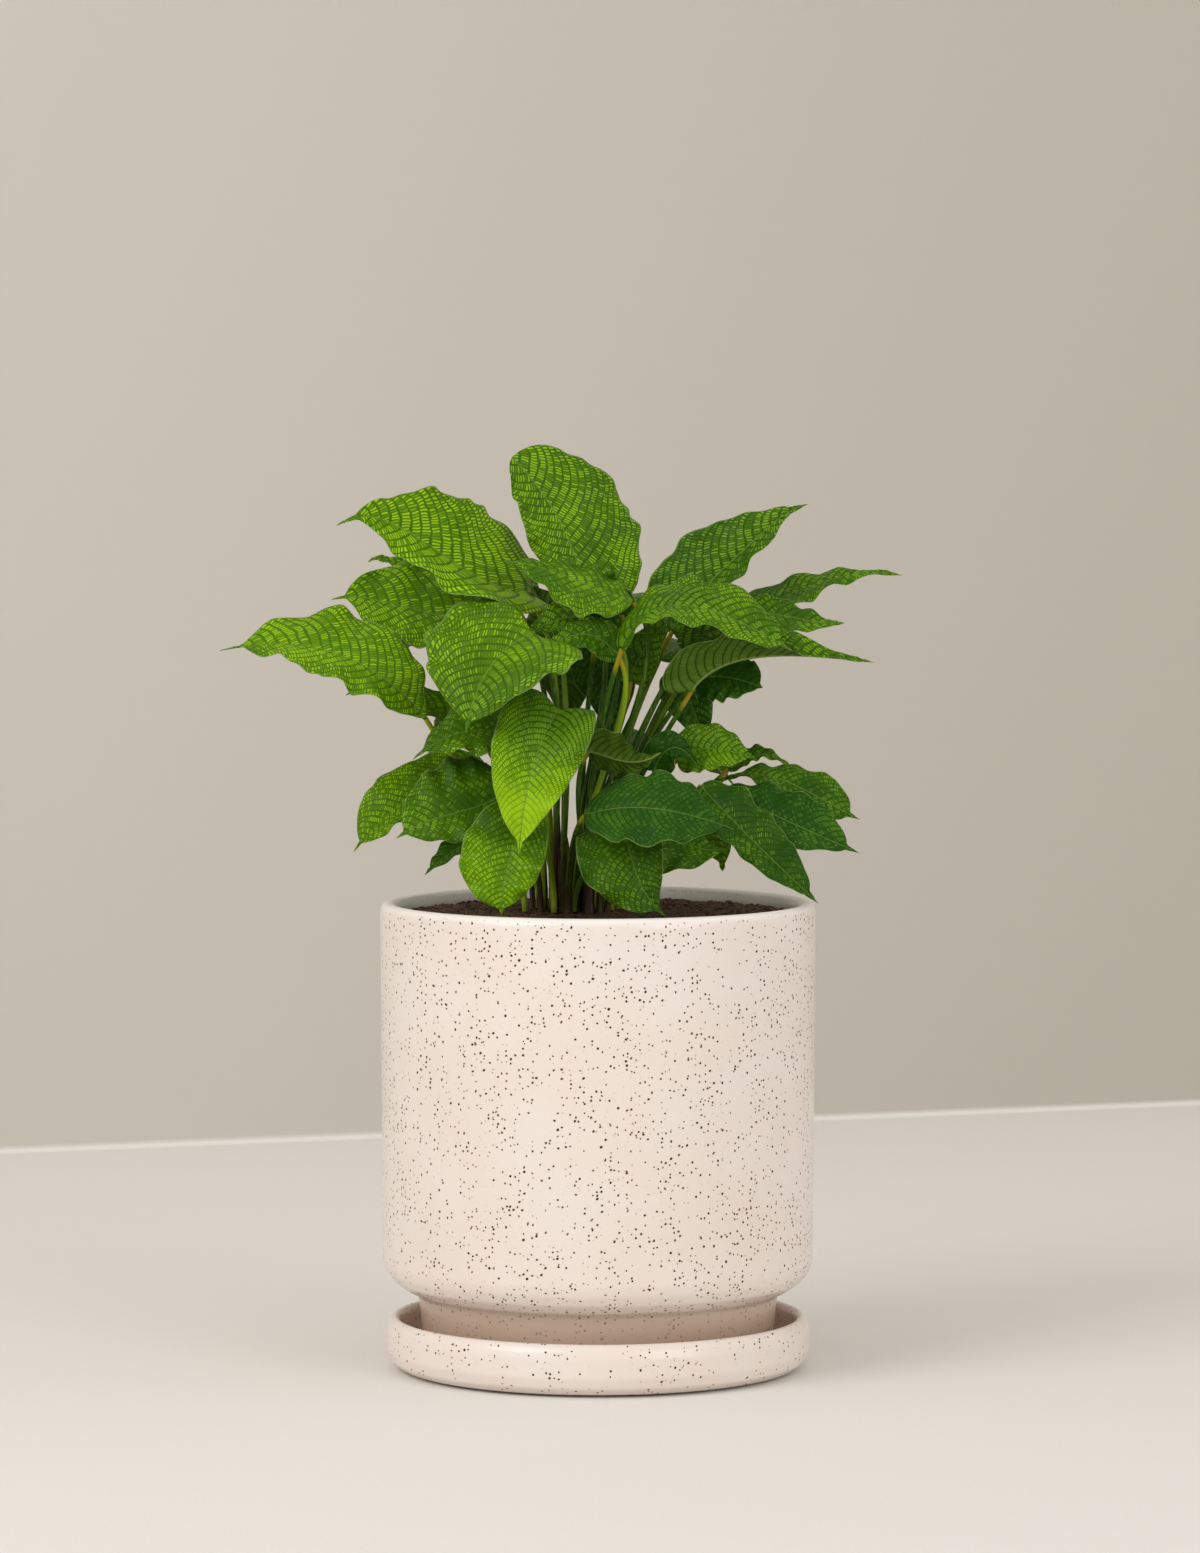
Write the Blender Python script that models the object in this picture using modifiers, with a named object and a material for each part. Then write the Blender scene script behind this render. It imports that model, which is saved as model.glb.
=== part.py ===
"""Potted calathea: a glazed cylinder pot on its saucer, soil, and a clump of patterned leaves.

Origin at the centre of the saucer's underside, +Z up, front towards -Y. Lengths are in millimetres."""

import math

import bpy
import numpy as np
from mathutils import Vector

MM = 0.001

# Pot and saucer, profiles as (radius, height)
TURN_STEPS = 48
SAUCER_PROFILE = [
    (0, 6), (76, 6), (84.5, 6.6), (88.8, 9), (90.4, 14), (91, 21.5), (92, 23.6), (93.4, 24.3), (95, 23.6),
    (96.6, 21.2), (97.4, 17.5), (97.4, 9), (95.6, 4.2), (91.2, 1), (84, 0), (0, 0),
]
POT_PROFILE = [
    (7, 14), (68, 14), (73, 17), (75, 24), (75.5, 34), (80, 42), (88, 50), (91, 58), (92, 70), (92, 211),
    (92.8, 213.4), (94.8, 214.8), (97.2, 214.8), (99.3, 213.4), (100, 211), (98.9, 50), (97.6, 45.6),
    (94, 41), (88.6, 37.2), (83.4, 35.2), (82.4, 32), (80, 9), (78.4, 6.6), (76, 6.3), (62, 6.3),
    (60, 8.3), (7, 8.3),
]
SOIL_PROFILE = [
    (0, 210.6), (45, 210.2), (80, 209.4), (91.6, 208.8), (91.6, 70.2), (90.6, 58.4), (87.6, 50.5),
    (79.6, 42.4), (75.1, 34.2), (74.6, 24.2), (72.6, 17.4), (67.8, 14.4), (0, 14.4),
]

# Clump of leaf stalks
CLUMP = Vector((-16.0, 2.0))
CLUMP_SPREAD = 0.28
STALK_FOOT_Z = 211.0
STALK_GAP = 0.6
SETTLE_ROUNDS = 200
SETTLE_STEPS = 21
SETTLE_SHARE = 0.4
STALK_STEPS = (0.0, 0.26, 0.52, 0.74, 0.91)
STALK_RADII = (1.9, 1.35, 1.15, 1.15, 1.5)
KNUCKLE_RADIUS = 1.3
STALK_RISE = 0.42
STALK_RUN = 0.25

# Blades
BLADE_STEPS = (0.025, 0.1, 0.2, 0.31, 0.43, 0.56, 0.69, 0.82, 0.93)
BLADE_END = 0.93
TAIL_HALF = 1.3
MIDRIB_HALF = 0.75
BLADE_HALF = 0.4
WAVE_COUNT = 4.6

# Front viewpoint that the leaves are laid out from: its distance from the axis and its height
VIEW_DISTANCE = 2804.0
VIEW_HEIGHT = 439.4

GREEN = (0.09, 0.26, 0.02, 1)
BLUSH = (0.83, 0.72, 0.64, 1)
EARTH = (0.05, 0.032, 0.02, 1)
UMBER = (0.06, 0.035, 0.02, 1)


def leaf(name, mid, faces, width, lift=(18, 18), curl=(-14, -14), wave=(2.4, 0.0), foot=(0, 0),
         hook=(0, 0, 0), shape=(0.5, 1.15), lobe=0.5):
    """mid: knuckle, one third, two thirds and tip as (x, depth, z); faces: the upper side's direction at
    the knuckle and the tip; width, lift and curl: left and right of the midrib; wave: height and phase;
    foot: the shift of its stalk's foot; hook: the tip's bend; shape: powers of the base and the tip;
    lobe: fullness of the base."""
    return dict(name=name, mid=mid, faces=faces, width=width, lift=lift, curl=curl, wave=wave, foot=foot,
                hook=hook, shape=shape, lobe=lobe)


LEAVES = [
    leaf("leaf_top_01", ((0, 16, 348), (-12, 22, 377), (-24, 26, 400), (-45, 24, 424)),
         ((0.2, -0.9, 0.3), (0.3, -0.95, 0.2)), (17, 34), (6, 4), shape=(0.4, 0.5), lobe=0.2),
    leaf("leaf_top_02", ((-32, 21, 355), (-65, 0, 370), (-92, -10, 387), (-117, -12, 391)),
         ((0.1, -0.3, 0.95), (-0.1, -0.9, 0.45)), (24, 34), (10, 38), lobe=1.1, hook=(-3, 0, -4)),
    leaf("leaf_top_03", ((-60, 34, 350), (-78, 36, 360), (-94, 36, 370), (-105, 34, 370.5)),
         ((0, -0.5, 0.85), (0, -0.5, 0.85)), (10, 8)),
    leaf("leaf_top_04", ((16, -7, 352), (0, -7, 358.5), (-20, -7, 366), (-43, -7, 371)),
         ((0, -0.35, 0.9), (0, -0.35, 0.9)), (20, 16), (-10, 10), shape=(0.8, 1.0), lobe=0.1),
    leaf("leaf_top_05", ((11, 17, 346), (8, 17, 355), (6, 11, 363), (9, 10, 371)),
         ((0.2, -0.9, 0.2), (-0.2, -0.9, 0.2)), (9, 8), (30, 35)),
    leaf("leaf_top_06", ((34, 12, 339), (50, 13, 360), (71, 11, 380), (94, 8, 401)),
         ((-0.48, -0.8, 0.36), (-0.48, -0.8, 0.36)), (23, 14), (25, 25),
         foot=(2, 5), shape=(0.5, 0.9), lobe=0.8, hook=(2, 0, -4)),
    leaf("leaf_left_01", ((-43, -9, 333), (-70, 3, 345), (-97, 9, 352), (-119, 8, 356.5)),
         ((0, -0.72, 0.65), (0, -0.72, 0.65)), (25, 28), (14, 14),
         hook=(-3, 0, -3), shape=(0.8, 0.85), lobe=0.2),
    leaf("leaf_left_02", ((-79, -19, 299), (-102, -28, 320), (-133, -22, 332), (-173, -10, 330)),
         ((-0.15, -0.8, 0.6), (0.1, -0.45, 0.9)), (19, 25), (16, 18), foot=(0, -4), shape=(1.0, 0.75)),
    leaf("leaf_left_03", ((-62, 31, 300), (-80, 28, 306), (-98, 22, 312), (-115.5, 16, 309.5)),
         ((0, -0.5, 0.85), (0, -0.5, 0.85)), (12, 12)),
    leaf("leaf_left_04", ((-31, -19, 290), (-47, -27, 293), (-64, -32, 292), (-85, -34, 280)),
         ((0, -0.6, 0.8), (0, -0.6, 0.8)), (17, 16), (6, 18), foot=(-2, 2), shape=(0.5, 0.75)),
    leaf("leaf_left_05", ((-52, 8, 278), (-74, 0, 270.5), (-95, -8, 256), (-112, -12, 237.6)),
         ((-0.3, -0.8, 0.5), (-0.3, -0.8, 0.5)), (13, 17), shape=(0.8, 0.7)),
    leaf("leaf_left_06", ((-42, -30, 266), (-57, -36, 258), (-74, -40, 253), (-92.6, -42, 243.8)),
         ((-0.1, -0.9, 0.4), (-0.1, -0.9, 0.4)), (15, 26), (14, 8), foot=(-3, -1), shape=(0.45, 0.6)),
    leaf("leaf_left_07", ((-46, 14, 246), (-57, 6, 243), (-68, -4, 237), (-79.4, -12, 227)),
         ((-0.2, -0.5, 0.8), (-0.2, -0.5, 0.8)), (9, 9), foot=(0, -4), shape=(0.5, 0.7)),
    leaf("leaf_front_01", ((-30, -32, 338), (-45, -46, 328), (-55, -58, 312), (-60.5, -62, 292)),
         ((-0.25, -0.8, 0.55), (-0.2, -0.9, 0.3)), (38, 38), (22, 6),
         foot=(0, -2), shape=(0.4, 0.95), lobe=0.35),
    leaf("leaf_front_02", ((11, -22, 331), (30, -28, 350), (58, -31, 346), (89.6, -26, 329.5)),
         ((0.0, -0.35, 0.95), (0.1, -0.8, 0.5)), (21, 13), (5, 14), shape=(0.5, 0.45)),
    leaf("leaf_front_03", ((-18, -46, 303), (-27, -60, 285), (-33, -66, 263), (-36.4, -64, 235.8)),
         ((-0.05, -0.8, 0.5), (0, -1, 0.05)), (21, 22), (12, 12), shape=(0.3, 0.75), lobe=0.7),
    leaf("leaf_front_04", ((-30, -44, 262), (-38, -58, 241), (-43, -64, 224), (-44.3, -64, 208)),
         ((-0.1, -0.95, 0.2), (-0.1, -0.95, 0.2)), (15, 23), (10, 10), foot=(0, -3), shape=(0.6, 0.65)),
    leaf("leaf_front_05", ((-6, -56, 254.5), (15, -67, 258), (38, -72, 255.5), (62.7, -66, 247.7)),
         ((0, -0.75, 0.65), (0, -0.75, 0.65)), (21, 20), (8, 6), shape=(0.8, 0.85)),
    leaf("leaf_front_06", ((10, -40, 252), (14, -54, 240), (19, -60, 224), (31, -60, 208)),
         ((0, -0.95, 0.2), (0, -0.95, 0.2)), (15, 24), (10, 10), shape=(0.5, 0.75)),
    leaf("leaf_front_07", ((0, -28, 256), (8, -30, 262), (14, -32, 267), (22, -34, 271)),
         ((0, -0.95, 0.2), (0, -0.95, 0.2)), (7, 7), foot=(2, 0), shape=(0.5, 0.7)),
    leaf("leaf_mid_01", ((7, -6, 338), (-8, -5, 345), (-22, -5, 343), (-38, -7, 334)),
         ((0, -0.8, 0.5), (0, -0.8, 0.5)), (12, 12)),
    leaf("leaf_mid_02", ((9, -11, 328), (-3, -15, 337), (-14, -18, 336), (-30, -22, 331)),
         ((0, -0.8, 0.5), (0, -0.8, 0.5)), (10, 10), foot=(-3, -3)),
    leaf("leaf_mid_03", ((-18, 27, 332), (-22, 32, 343), (-27, 36, 353), (-32, 37, 363)),
         ((0.2, 0.9, 0.2), (0.2, 0.9, 0.2)), (13, 13)),
    leaf("leaf_mid_04", ((15, 6, 316), (19, 5, 327), (27, 4, 338), (38, 3, 348)),
         ((0, -0.9, 0.3), (0, -0.9, 0.3)), (10, 10)),
    leaf("leaf_mid_05", ((40, -3, 330), (50, -5, 338), (60, -6, 339), (71, -7, 337)),
         ((0, -0.8, 0.5), (0, -0.8, 0.5)), (9, 9)),
    leaf("leaf_mid_06", ((-4, -20, 284), (6, -25, 281), (17, -27, 279), (29, -27, 283.5)),
         ((0, 0.85, 0.5), (0, 0.85, 0.5)), (11, 13), foot=(7, -5)),
    leaf("leaf_mid_07", ((26, -15, 275), (31, -18, 284), (38, -19, 285), (46, -19, 276)),
         ((0, -0.95, 0.3), (0, -0.95, 0.3)), (9, 9), foot=(1, -6)),
    leaf("leaf_mid_08", ((-1, 30, 336), (2, 34, 322), (6, 34, 304), (9, 30, 284)),
         ((0, -0.95, 0.1), (0, -0.95, 0.1)), (16, 15), (8, 8), foot=(3, 2)),
    leaf("leaf_mid_09", ((37, 21, 320), (41, 22, 310), (46, 22, 297), (50, 20, 284)),
         ((0, -0.95, 0.1), (0, -0.95, 0.1)), (12, 12), (8, 8), foot=(4, 6)),
    leaf("leaf_right_01", ((55, 24, 344), (81, 31, 353), (108, 29, 363), (139, 24, 364.5)),
         ((-0.2, -0.4, 0.9), (-0.1, -0.4, 0.9)), (15, 14), (12, 2)),
    leaf("leaf_right_02", ((60, 13, 345), (78, 10, 347), (95, 6, 344), (113, 3, 342.7)),
         ((0, -0.7, 0.7), (0, -0.7, 0.7)), (9, 14), foot=(0, 2), shape=(0.5, 0.8)),
    leaf("leaf_right_03", ((43, -9, 312), (62, -15, 325), (90, -15, 328), (126.4, -14, 324.6)),
         ((-0.45, 0.85, 0.2), (0.2, -0.6, 1)), (21, 17), (60, 20), (0, 0),
         foot=(2, 3), shape=(0.3, 1.0), lobe=0.8),
    leaf("leaf_right_04", ((46, 10, 317), (57, 8, 318), (67, 3, 316), (75.5, -2, 313)),
         ((0.1, -0.9, 0.4), (0.1, -0.9, 0.4)), (13, 14), shape=(0.5, 0.6)),
    leaf("leaf_right_05", ((36, -6, 280), (48, -8, 285), (60, -10, 284), (72, -10, 281)),
         ((0, -0.85, 0.5), (0, -0.85, 0.5)), (12, 13), shape=(0.5, 0.8)),
    leaf("leaf_right_06", ((60, 32, 276), (69, 32, 281), (78, 30, 282), (89, 28, 275.5)),
         ((0, -0.5, 0.85), (0, -0.5, 0.85)), (7, 7), foot=(2, 4)),
    leaf("leaf_right_07", ((55, 4, 270), (76, 2, 273), (97, 0, 265), (120, -2, 252.5)),
         ((0, -0.05, 1), (0.3, -1, 0.1)), (13, 9), (5, 5), shape=(1.1, 0.5)),
    leaf("leaf_right_08", ((58, -8, 266), (76, -15, 257), (95, -18, 248), (120, -18, 237)),
         ((0.2, -0.65, 0.7), (0.2, -0.85, 0.5)), (17, 12), (16, 20), shape=(0.7, 0.6)),
    leaf("leaf_right_09", ((47, -16, 268), (62, -26, 252), (80, -34, 234), (101, -38, 214)),
         ((0.2, -0.85, 0.4), (0.2, -0.85, 0.4)), (15, 11), shape=(0.6, 0.65)),
    leaf("leaf_right_10", ((16, -26, 250), (30, -30, 246), (44, -33, 240), (60, -34, 239)),
         ((0, -0.8, 0.5), (0, -0.8, 0.5)), (14, 21), foot=(3, -1), shape=(0.4, 0.9)),
    leaf("leaf_right_11", ((42, -12, 250), (49, -13, 246), (55, -15, 238), (57, -16, 228.6)),
         ((0, -0.9, 0.3), (0, -0.9, 0.3)), (13, 8), foot=(3, -5)),
    leaf("leaf_back_01", ((-16, 40, 329), (-16, 52, 327), (-15, 61, 311), (-14, 63, 284)),
         ((0, 0.5, 0.85), (0, 0.95, 0.2)), (16, 22)),
    leaf("leaf_back_02", ((9, 62, 346), (4, 86, 353), (0, 112, 347), (0, 138, 332)),
         ((0, 0.2, 1), (0, 0.6, 0.8)), (24, 24), foot=(0, 4)),
    leaf("leaf_back_03", ((-45, 56, 333), (-60, 80, 343), (-78, 104, 338), (-98, 124, 322)),
         ((-0.1, 0.2, 1), (-0.4, 0.5, 0.8)), (24, 24)),
    leaf("leaf_back_04", ((28, 58, 326), (42, 82, 332), (58, 106, 326), (72, 128, 314)),
         ((0.1, 0.2, 1), (0.4, 0.5, 0.8)), (24, 24), foot=(-7, 1)),
    leaf("leaf_back_05", ((-39, 53, 298), (-53, 75, 302), (-65, 96, 296), (-80, 116, 278)),
         ((-0.1, 0.2, 1), (-0.4, 0.5, 0.8)), (22, 22), foot=(-3, 3)),
    leaf("leaf_back_06", ((22, 46, 284), (34, 70, 288), (48, 92, 282), (64, 110, 266)),
         ((0.1, 0.2, 1), (0.4, 0.5, 0.8)), (22, 22), foot=(2, -4)),
    leaf("leaf_back_07", ((-30, 44, 262), (-42, 66, 262), (-54, 88, 252), (-66, 104, 236)),
         ((-0.1, 0.2, 1), (-0.4, 0.5, 0.8)), (20, 20)),
    leaf("leaf_back_08", ((4, 46, 256), (14, 66, 256), (26, 86, 248), (38, 102, 232)),
         ((0.1, 0.2, 1), (0.4, 0.5, 0.8)), (20, 20), foot=(7, -3)),
    leaf("leaf_back_09", ((44, 42, 338), (60, 62, 344), (76, 82, 345), (94, 100, 340)),
         ((0.1, 0.1, 1), (0.4, 0.4, 0.8)), (20, 20)),
    leaf("leaf_back_10", ((-38, 49, 352), (-54, 67, 364), (-70, 84, 366), (-92, 100, 358)),
         ((-0.1, 0.1, 1), (-0.4, 0.4, 0.8)), (22, 22), foot=(4, 3)),
]

# Old stems: foot (x, y), top (x, y, z), radius at the foot and at the top
OLD_STEMS = {
    "old_stem_01": ((-14, -8), (-14.5, -8, 245), 2.2, 1.2),
    "old_stem_02": ((-15, -3), (-18.5, -4, 241), 2.5, 1.1),
    "old_stem_03": ((-14, 5), (-17, 7, 236), 2.2, 1.2),
    "old_stem_04": ((-4, -15), (-4, -15, 227), 2.0, 1.0),
}


def clear_scene():
    for old in list(bpy.data.objects):
        bpy.data.objects.remove(old)


def material(name, colour, roughness):
    made = bpy.data.materials.new(name)
    made.use_nodes = True
    shader = made.node_tree.nodes["Principled BSDF"]
    shader.inputs["Base Color"].default_value = colour
    shader.inputs["Roughness"].default_value = roughness
    return made


def add_object(name, points, faces, group, look):
    mesh = bpy.data.meshes.new(name)
    mesh.from_pydata([point * MM for point in points], [], faces)
    mesh.materials.append(look)
    made = bpy.data.objects.new(name, mesh)
    group.objects.link(made)
    return made


def turned(name, profile, group, look):
    """A solid of revolution: the profile runs clockwise in the radius-height plane."""
    mesh = bpy.data.meshes.new(name)
    points = [(radius * MM, 0, height * MM) for radius, height in profile]
    closed = profile[0][0] > 0
    edges = [(i, i + 1) for i in range(len(points) - 1)]
    if closed:
        edges.append((len(points) - 1, 0))
    mesh.from_pydata(points, edges, [])
    mesh.materials.append(look)
    made = bpy.data.objects.new(name, mesh)
    group.objects.link(made)
    spin = made.modifiers.new("spin", "SCREW")
    spin.steps = TURN_STEPS
    spin.render_steps = TURN_STEPS
    spin.use_merge_vertices = True
    spin.merge_threshold = 0.00005
    spin.use_normal_calculate = True
    return made


def at(x, y, z):
    """The point at depth y that lines up with (x, z) of the axis plane from the front viewpoint."""
    reach = 1 + y / VIEW_DISTANCE
    return Vector((x * reach, y, VIEW_HEIGHT - (VIEW_HEIGHT - z) * reach))


def midrib_point(mid, hook, u):
    """The cubic through the four points, with the last fifth drawn towards the hook."""
    weights = (
        -4.5 * (u - 1 / 3) * (u - 2 / 3) * (u - 1),
        13.5 * u * (u - 2 / 3) * (u - 1),
        -13.5 * u * (u - 1 / 3) * (u - 1),
        4.5 * u * (u - 1 / 3) * (u - 2 / 3),
    )
    place = sum((weight * point for weight, point in zip(weights, mid)), Vector())
    return place + hook * max(0.0, (u - 0.8) / 0.2) ** 2


def blade_frame(mid, hook, faces, u):
    """Place, tangent, side and facing of the blade at u."""
    step = 0.01
    place = midrib_point(mid, hook, u)
    tangent = (midrib_point(mid, hook, u + step) - midrib_point(mid, hook, u - step)).normalized()
    facing = faces[0].lerp(faces[1], u)
    side = tangent.cross(facing).normalized()
    return place, tangent, side, side.cross(tangent)


def half_width(item, half, u):
    """The blade swells from the knuckle, narrows to its end and carries on as a thin drip tip."""
    base_power, tip_power = item["shape"]
    peak = base_power / (base_power + tip_power)
    along = min(1.0, u / BLADE_END)
    share = (along / peak) ** base_power * ((1 - along) / (1 - peak)) ** tip_power
    return max(item["width"][half] * share, TAIL_HALF * min(1.0, (1 - u) / (1 - BLADE_END)))


def blade_place(item, frame, u, v):
    """The blade's middle surface at u along and v across, from -1 at the left edge to 1 at the right."""
    place, tangent, side, facing = frame
    half = 1 if v > 0 else 0
    across = half_width(item, half, u) * abs(v)
    angle = math.radians(item["lift"][half] + 0.5 * item["curl"][half] * abs(v))
    height, phase = item["wave"]
    turn = 2 * math.pi * (WAVE_COUNT * u + phase + 0.37 * half)
    ripple = height * v * v * math.sin(turn) * math.sin(math.pi * u)
    back = item["lobe"] * across * (1 - u) ** 5
    return (place + side * (math.copysign(across, v) * math.cos(angle))
            + facing * (across * math.sin(angle) + ripple) - tangent * back)


def blade_ring(item, frame, u):
    facing = frame[3]
    taper = min(1.0, 8 * (1 - u))
    ring = [(-1, 0), (-0.5, BLADE_HALF), (0, MIDRIB_HALF), (0.5, BLADE_HALF), (1, 0),
            (0.5, -BLADE_HALF), (0, -MIDRIB_HALF), (-0.5, -BLADE_HALF)]
    return [blade_place(item, frame, u, v) + facing * (offset * taper) for v, offset in ring]


def round_ring(centre, side, up, radius):
    turns = [math.pi - i * math.pi / 4 for i in range(8)]
    return [centre + (side * math.cos(turn) + up * math.sin(turn)) * radius for turn in turns]


def bezier(a, b, c, d, t):
    s = 1 - t
    return a * s ** 3 + b * (3 * s * s * t) + c * (3 * s * t * t) + d * t ** 3


def stalk_curve(item):
    """Control points of the stalk: it rises from the clump and meets the blade at the knuckle."""
    mid = [at(*point) for point in item["mid"]]
    knuckle = mid[0]
    start = blade_frame(mid, Vector(item["hook"]), [Vector(face) for face in item["faces"]], 0.0)[1]
    foot = (CLUMP + (knuckle.xy - CLUMP) * CLUMP_SPREAD + Vector(item["foot"])).to_3d()
    foot.z = STALK_FOOT_Z
    height = knuckle.z - foot.z
    arrive = (start + Vector((0, 0, max(0.0, 1.0 - start.z)))).normalized()
    return foot, foot + Vector((0, 0, STALK_RISE * height)), knuckle - arrive * (STALK_RUN * height), knuckle


def old_stem_curve(foot, top):
    foot = Vector((*foot, STALK_FOOT_Z))
    top = Vector(top)
    return foot, foot.lerp(top, 1 / 3), foot.lerp(top, 2 / 3), top


def settled_stalks(curves, fixed):
    """Nudges the stalks sideways, knuckles held, until no two stand closer than their radii and the gap."""
    controls = np.array([[tuple(point) for point in curve] for curve in curves + fixed])
    steps = np.linspace(0, 1, SETTLE_STEPS)
    weights = np.array([bezier(*np.eye(4), step) for step in steps])
    radii = np.interp(steps, STALK_STEPS, STALK_RADII)
    reach = radii[:, None] + radii[None, :] + STALK_GAP
    for _ in range(SETTLE_ROUNDS):
        lines = weights @ controls
        moved = False
        for i in range(len(curves)):
            for j in range(i + 1, len(lines)):
                apart = lines[i][:, None] - lines[j][None]
                short = reach - np.linalg.norm(apart, axis=2)
                a, b = np.unravel_index(short.argmax(), short.shape)
                if short[a, b] <= 0:
                    continue
                moved = True
                push = apart[a, b, :2] / np.linalg.norm(apart[a, b, :2]) * short[a, b] * SETTLE_SHARE
                controls[i, :3, :2] += weights[a, :3, None] * push
                if j < len(curves):
                    controls[j, :3, :2] -= weights[b, :3, None] * push
        if not moved:
            break
    return [[Vector(point) for point in curve] for curve in controls[:len(curves)]]


def leaf_rings(item, curve):
    mid = [at(*point) for point in item["mid"]]
    hook = Vector(item["hook"])
    faces = [Vector(face) for face in item["faces"]]
    knuckle, start, side, up = blade_frame(mid, hook, faces, 0.0)
    arrive = (curve[3] - curve[2]).normalized()
    middle = (arrive + start).normalized()
    side = (side - middle * side.dot(middle)).normalized()
    rings = [round_ring(knuckle, side, side.cross(middle), KNUCKLE_RADIUS)]
    for step, radius in zip(reversed(STALK_STEPS), reversed(STALK_RADII)):
        ahead = (bezier(*curve, step + 0.01) - bezier(*curve, step - 0.01)).normalized()
        if step == 0:
            ahead = Vector((0, 0, 1))
        side = (side - ahead * side.dot(ahead)).normalized()
        rings.insert(0, round_ring(bezier(*curve, step), side, side.cross(ahead), radius))
    for u in BLADE_STEPS:
        frame = blade_frame(mid, hook, faces, u)
        rings.append(blade_ring(item, frame, u))
    return rings, midrib_point(mid, hook, 1.0)


def skin(rings, tip):
    """Points and faces of a closed loft through rings of equal count, ending in a point or a flat cap.
    The first half of each ring is its upper wall. Both walls are split along the same diagonals, so that
    they never cross."""
    count = len(rings[0])
    points = [point for ring in rings for point in ring]
    faces = [tuple(reversed(range(count)))]
    for row in range(len(rings) - 1):
        for i in range(count):
            near, near_next = row * count + i, row * count + (i + 1) % count
            far, far_next = near + count, near_next + count
            if i < count // 2:
                faces.extend([(near_next, far_next, near), (far_next, far, near)])
            else:
                faces.extend([(near_next, far_next, far), (near_next, far, near)])
    last = (len(rings) - 1) * count
    if tip is None:
        faces.append(tuple(last + i for i in range(count)))
    else:
        points.append(tip)
        faces.extend((last + (i + 1) % count, len(points) - 1, last + i) for i in range(count))
    return points, faces


def add_leaf(item, curve, group, look):
    rings, tip = leaf_rings(item, curve)
    points, faces = skin(rings, tip)
    return add_object(item["name"], points, faces, group, look)


def add_old_stem(name, foot, top, foot_radius, top_radius, group, look):
    foot = Vector((*foot, STALK_FOOT_Z))
    top = Vector(top)
    middle = foot.lerp(top, 0.5) + Vector((foot.x - top.x, foot.y - top.y, 0)) * 0.15
    rings = []
    for place, radius in ((foot, foot_radius), (middle, (foot_radius + top_radius) / 2), (top, top_radius)):
        rings.append(round_ring(place, Vector((1, 0, 0)), Vector((0, 1, 0)), radius))
    points, faces = skin([ring[::-1] for ring in rings], None)
    return add_object(name, points, faces, group, look)


def main():
    clear_scene()
    group = bpy.data.collections.new("potted_calathea")
    bpy.context.scene.collection.children.link(group)
    glaze = material("glaze", BLUSH, 0.35)
    earth = material("soil", EARTH, 0.95)
    blade = material("leaf", GREEN, 0.45)
    husk = material("old_stem", UMBER, 0.8)
    turned("saucer", SAUCER_PROFILE, group, glaze)
    turned("pot", POT_PROFILE, group, glaze)
    turned("soil", SOIL_PROFILE, group, earth)
    fixed = [old_stem_curve(shape[0], shape[1]) for shape in OLD_STEMS.values()]
    curves = settled_stalks([stalk_curve(item) for item in LEAVES], fixed)
    for item, curve in zip(LEAVES, curves):
        add_leaf(item, curve, group, blade)
    for name, shape in OLD_STEMS.items():
        add_old_stem(name, *shape, group, husk)


main()
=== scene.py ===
"""Looks of the potted calathea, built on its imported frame: blades, stalks, old stems, soil, pot and saucer.
The plan of the plant is in millimetres and everything built from it in metres. The front is towards -Y."""

import math

import bpy
import numpy as np
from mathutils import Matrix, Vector


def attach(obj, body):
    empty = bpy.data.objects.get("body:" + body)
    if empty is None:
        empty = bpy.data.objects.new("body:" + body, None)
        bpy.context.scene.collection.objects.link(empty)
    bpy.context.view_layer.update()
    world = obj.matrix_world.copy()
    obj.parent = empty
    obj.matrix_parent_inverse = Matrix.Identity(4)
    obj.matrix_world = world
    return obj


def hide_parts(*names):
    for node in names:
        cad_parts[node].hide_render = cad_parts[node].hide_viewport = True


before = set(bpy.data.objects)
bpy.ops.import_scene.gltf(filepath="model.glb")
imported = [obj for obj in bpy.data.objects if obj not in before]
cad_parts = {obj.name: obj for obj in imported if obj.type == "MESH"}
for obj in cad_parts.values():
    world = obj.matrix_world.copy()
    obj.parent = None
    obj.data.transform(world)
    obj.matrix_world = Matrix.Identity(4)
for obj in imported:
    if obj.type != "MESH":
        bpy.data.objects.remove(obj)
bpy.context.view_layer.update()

MM = 0.001

# ---------------------------------------------------------------- plan of the plant, in millimetres

CLUMP = Vector((-16.0, 2.0))
CLUMP_SPREAD = 0.28
STALK_FOOT_Z = 211.0
STALK_GAP = 0.6
SETTLE_ROUNDS = 200
SETTLE_STEPS = 21
SETTLE_SHARE = 0.4
STALK_STEPS = (0.0, 0.26, 0.52, 0.74, 0.91)
STALK_RADII = (1.9, 1.35, 1.15, 1.15, 1.5)
STALK_RISE = 0.42
STALK_RUN = 0.25
WAVE_COUNT = 4.6
BLADE_END = 0.93
TAIL_HALF = 1.3
NARROW_BLADE = 40.0
VIEW_DISTANCE = 2804.0
VIEW_HEIGHT = 439.4


def leaf(name, mid, faces, width, lift=(18, 18), curl=(-14, -14), wave=(2.4, 0.0), foot=(0, 0),
         hook=(0, 0, 0), shape=(0.5, 1.15), lobe=0.5):
    """mid: knuckle, one third, two thirds and tip as (x, depth, z); faces: the upper side's direction at
    the knuckle and the tip; width, lift and curl: left and right of the midrib; wave: height and phase;
    foot: the shift of its stalk's foot; hook: the tip's bend; shape: powers of the base and the tip;
    lobe: fullness of the base."""
    return dict(name=name, mid=mid, faces=faces, width=width, lift=lift, curl=curl, wave=wave, foot=foot,
                hook=hook, shape=shape, lobe=lobe)


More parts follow.
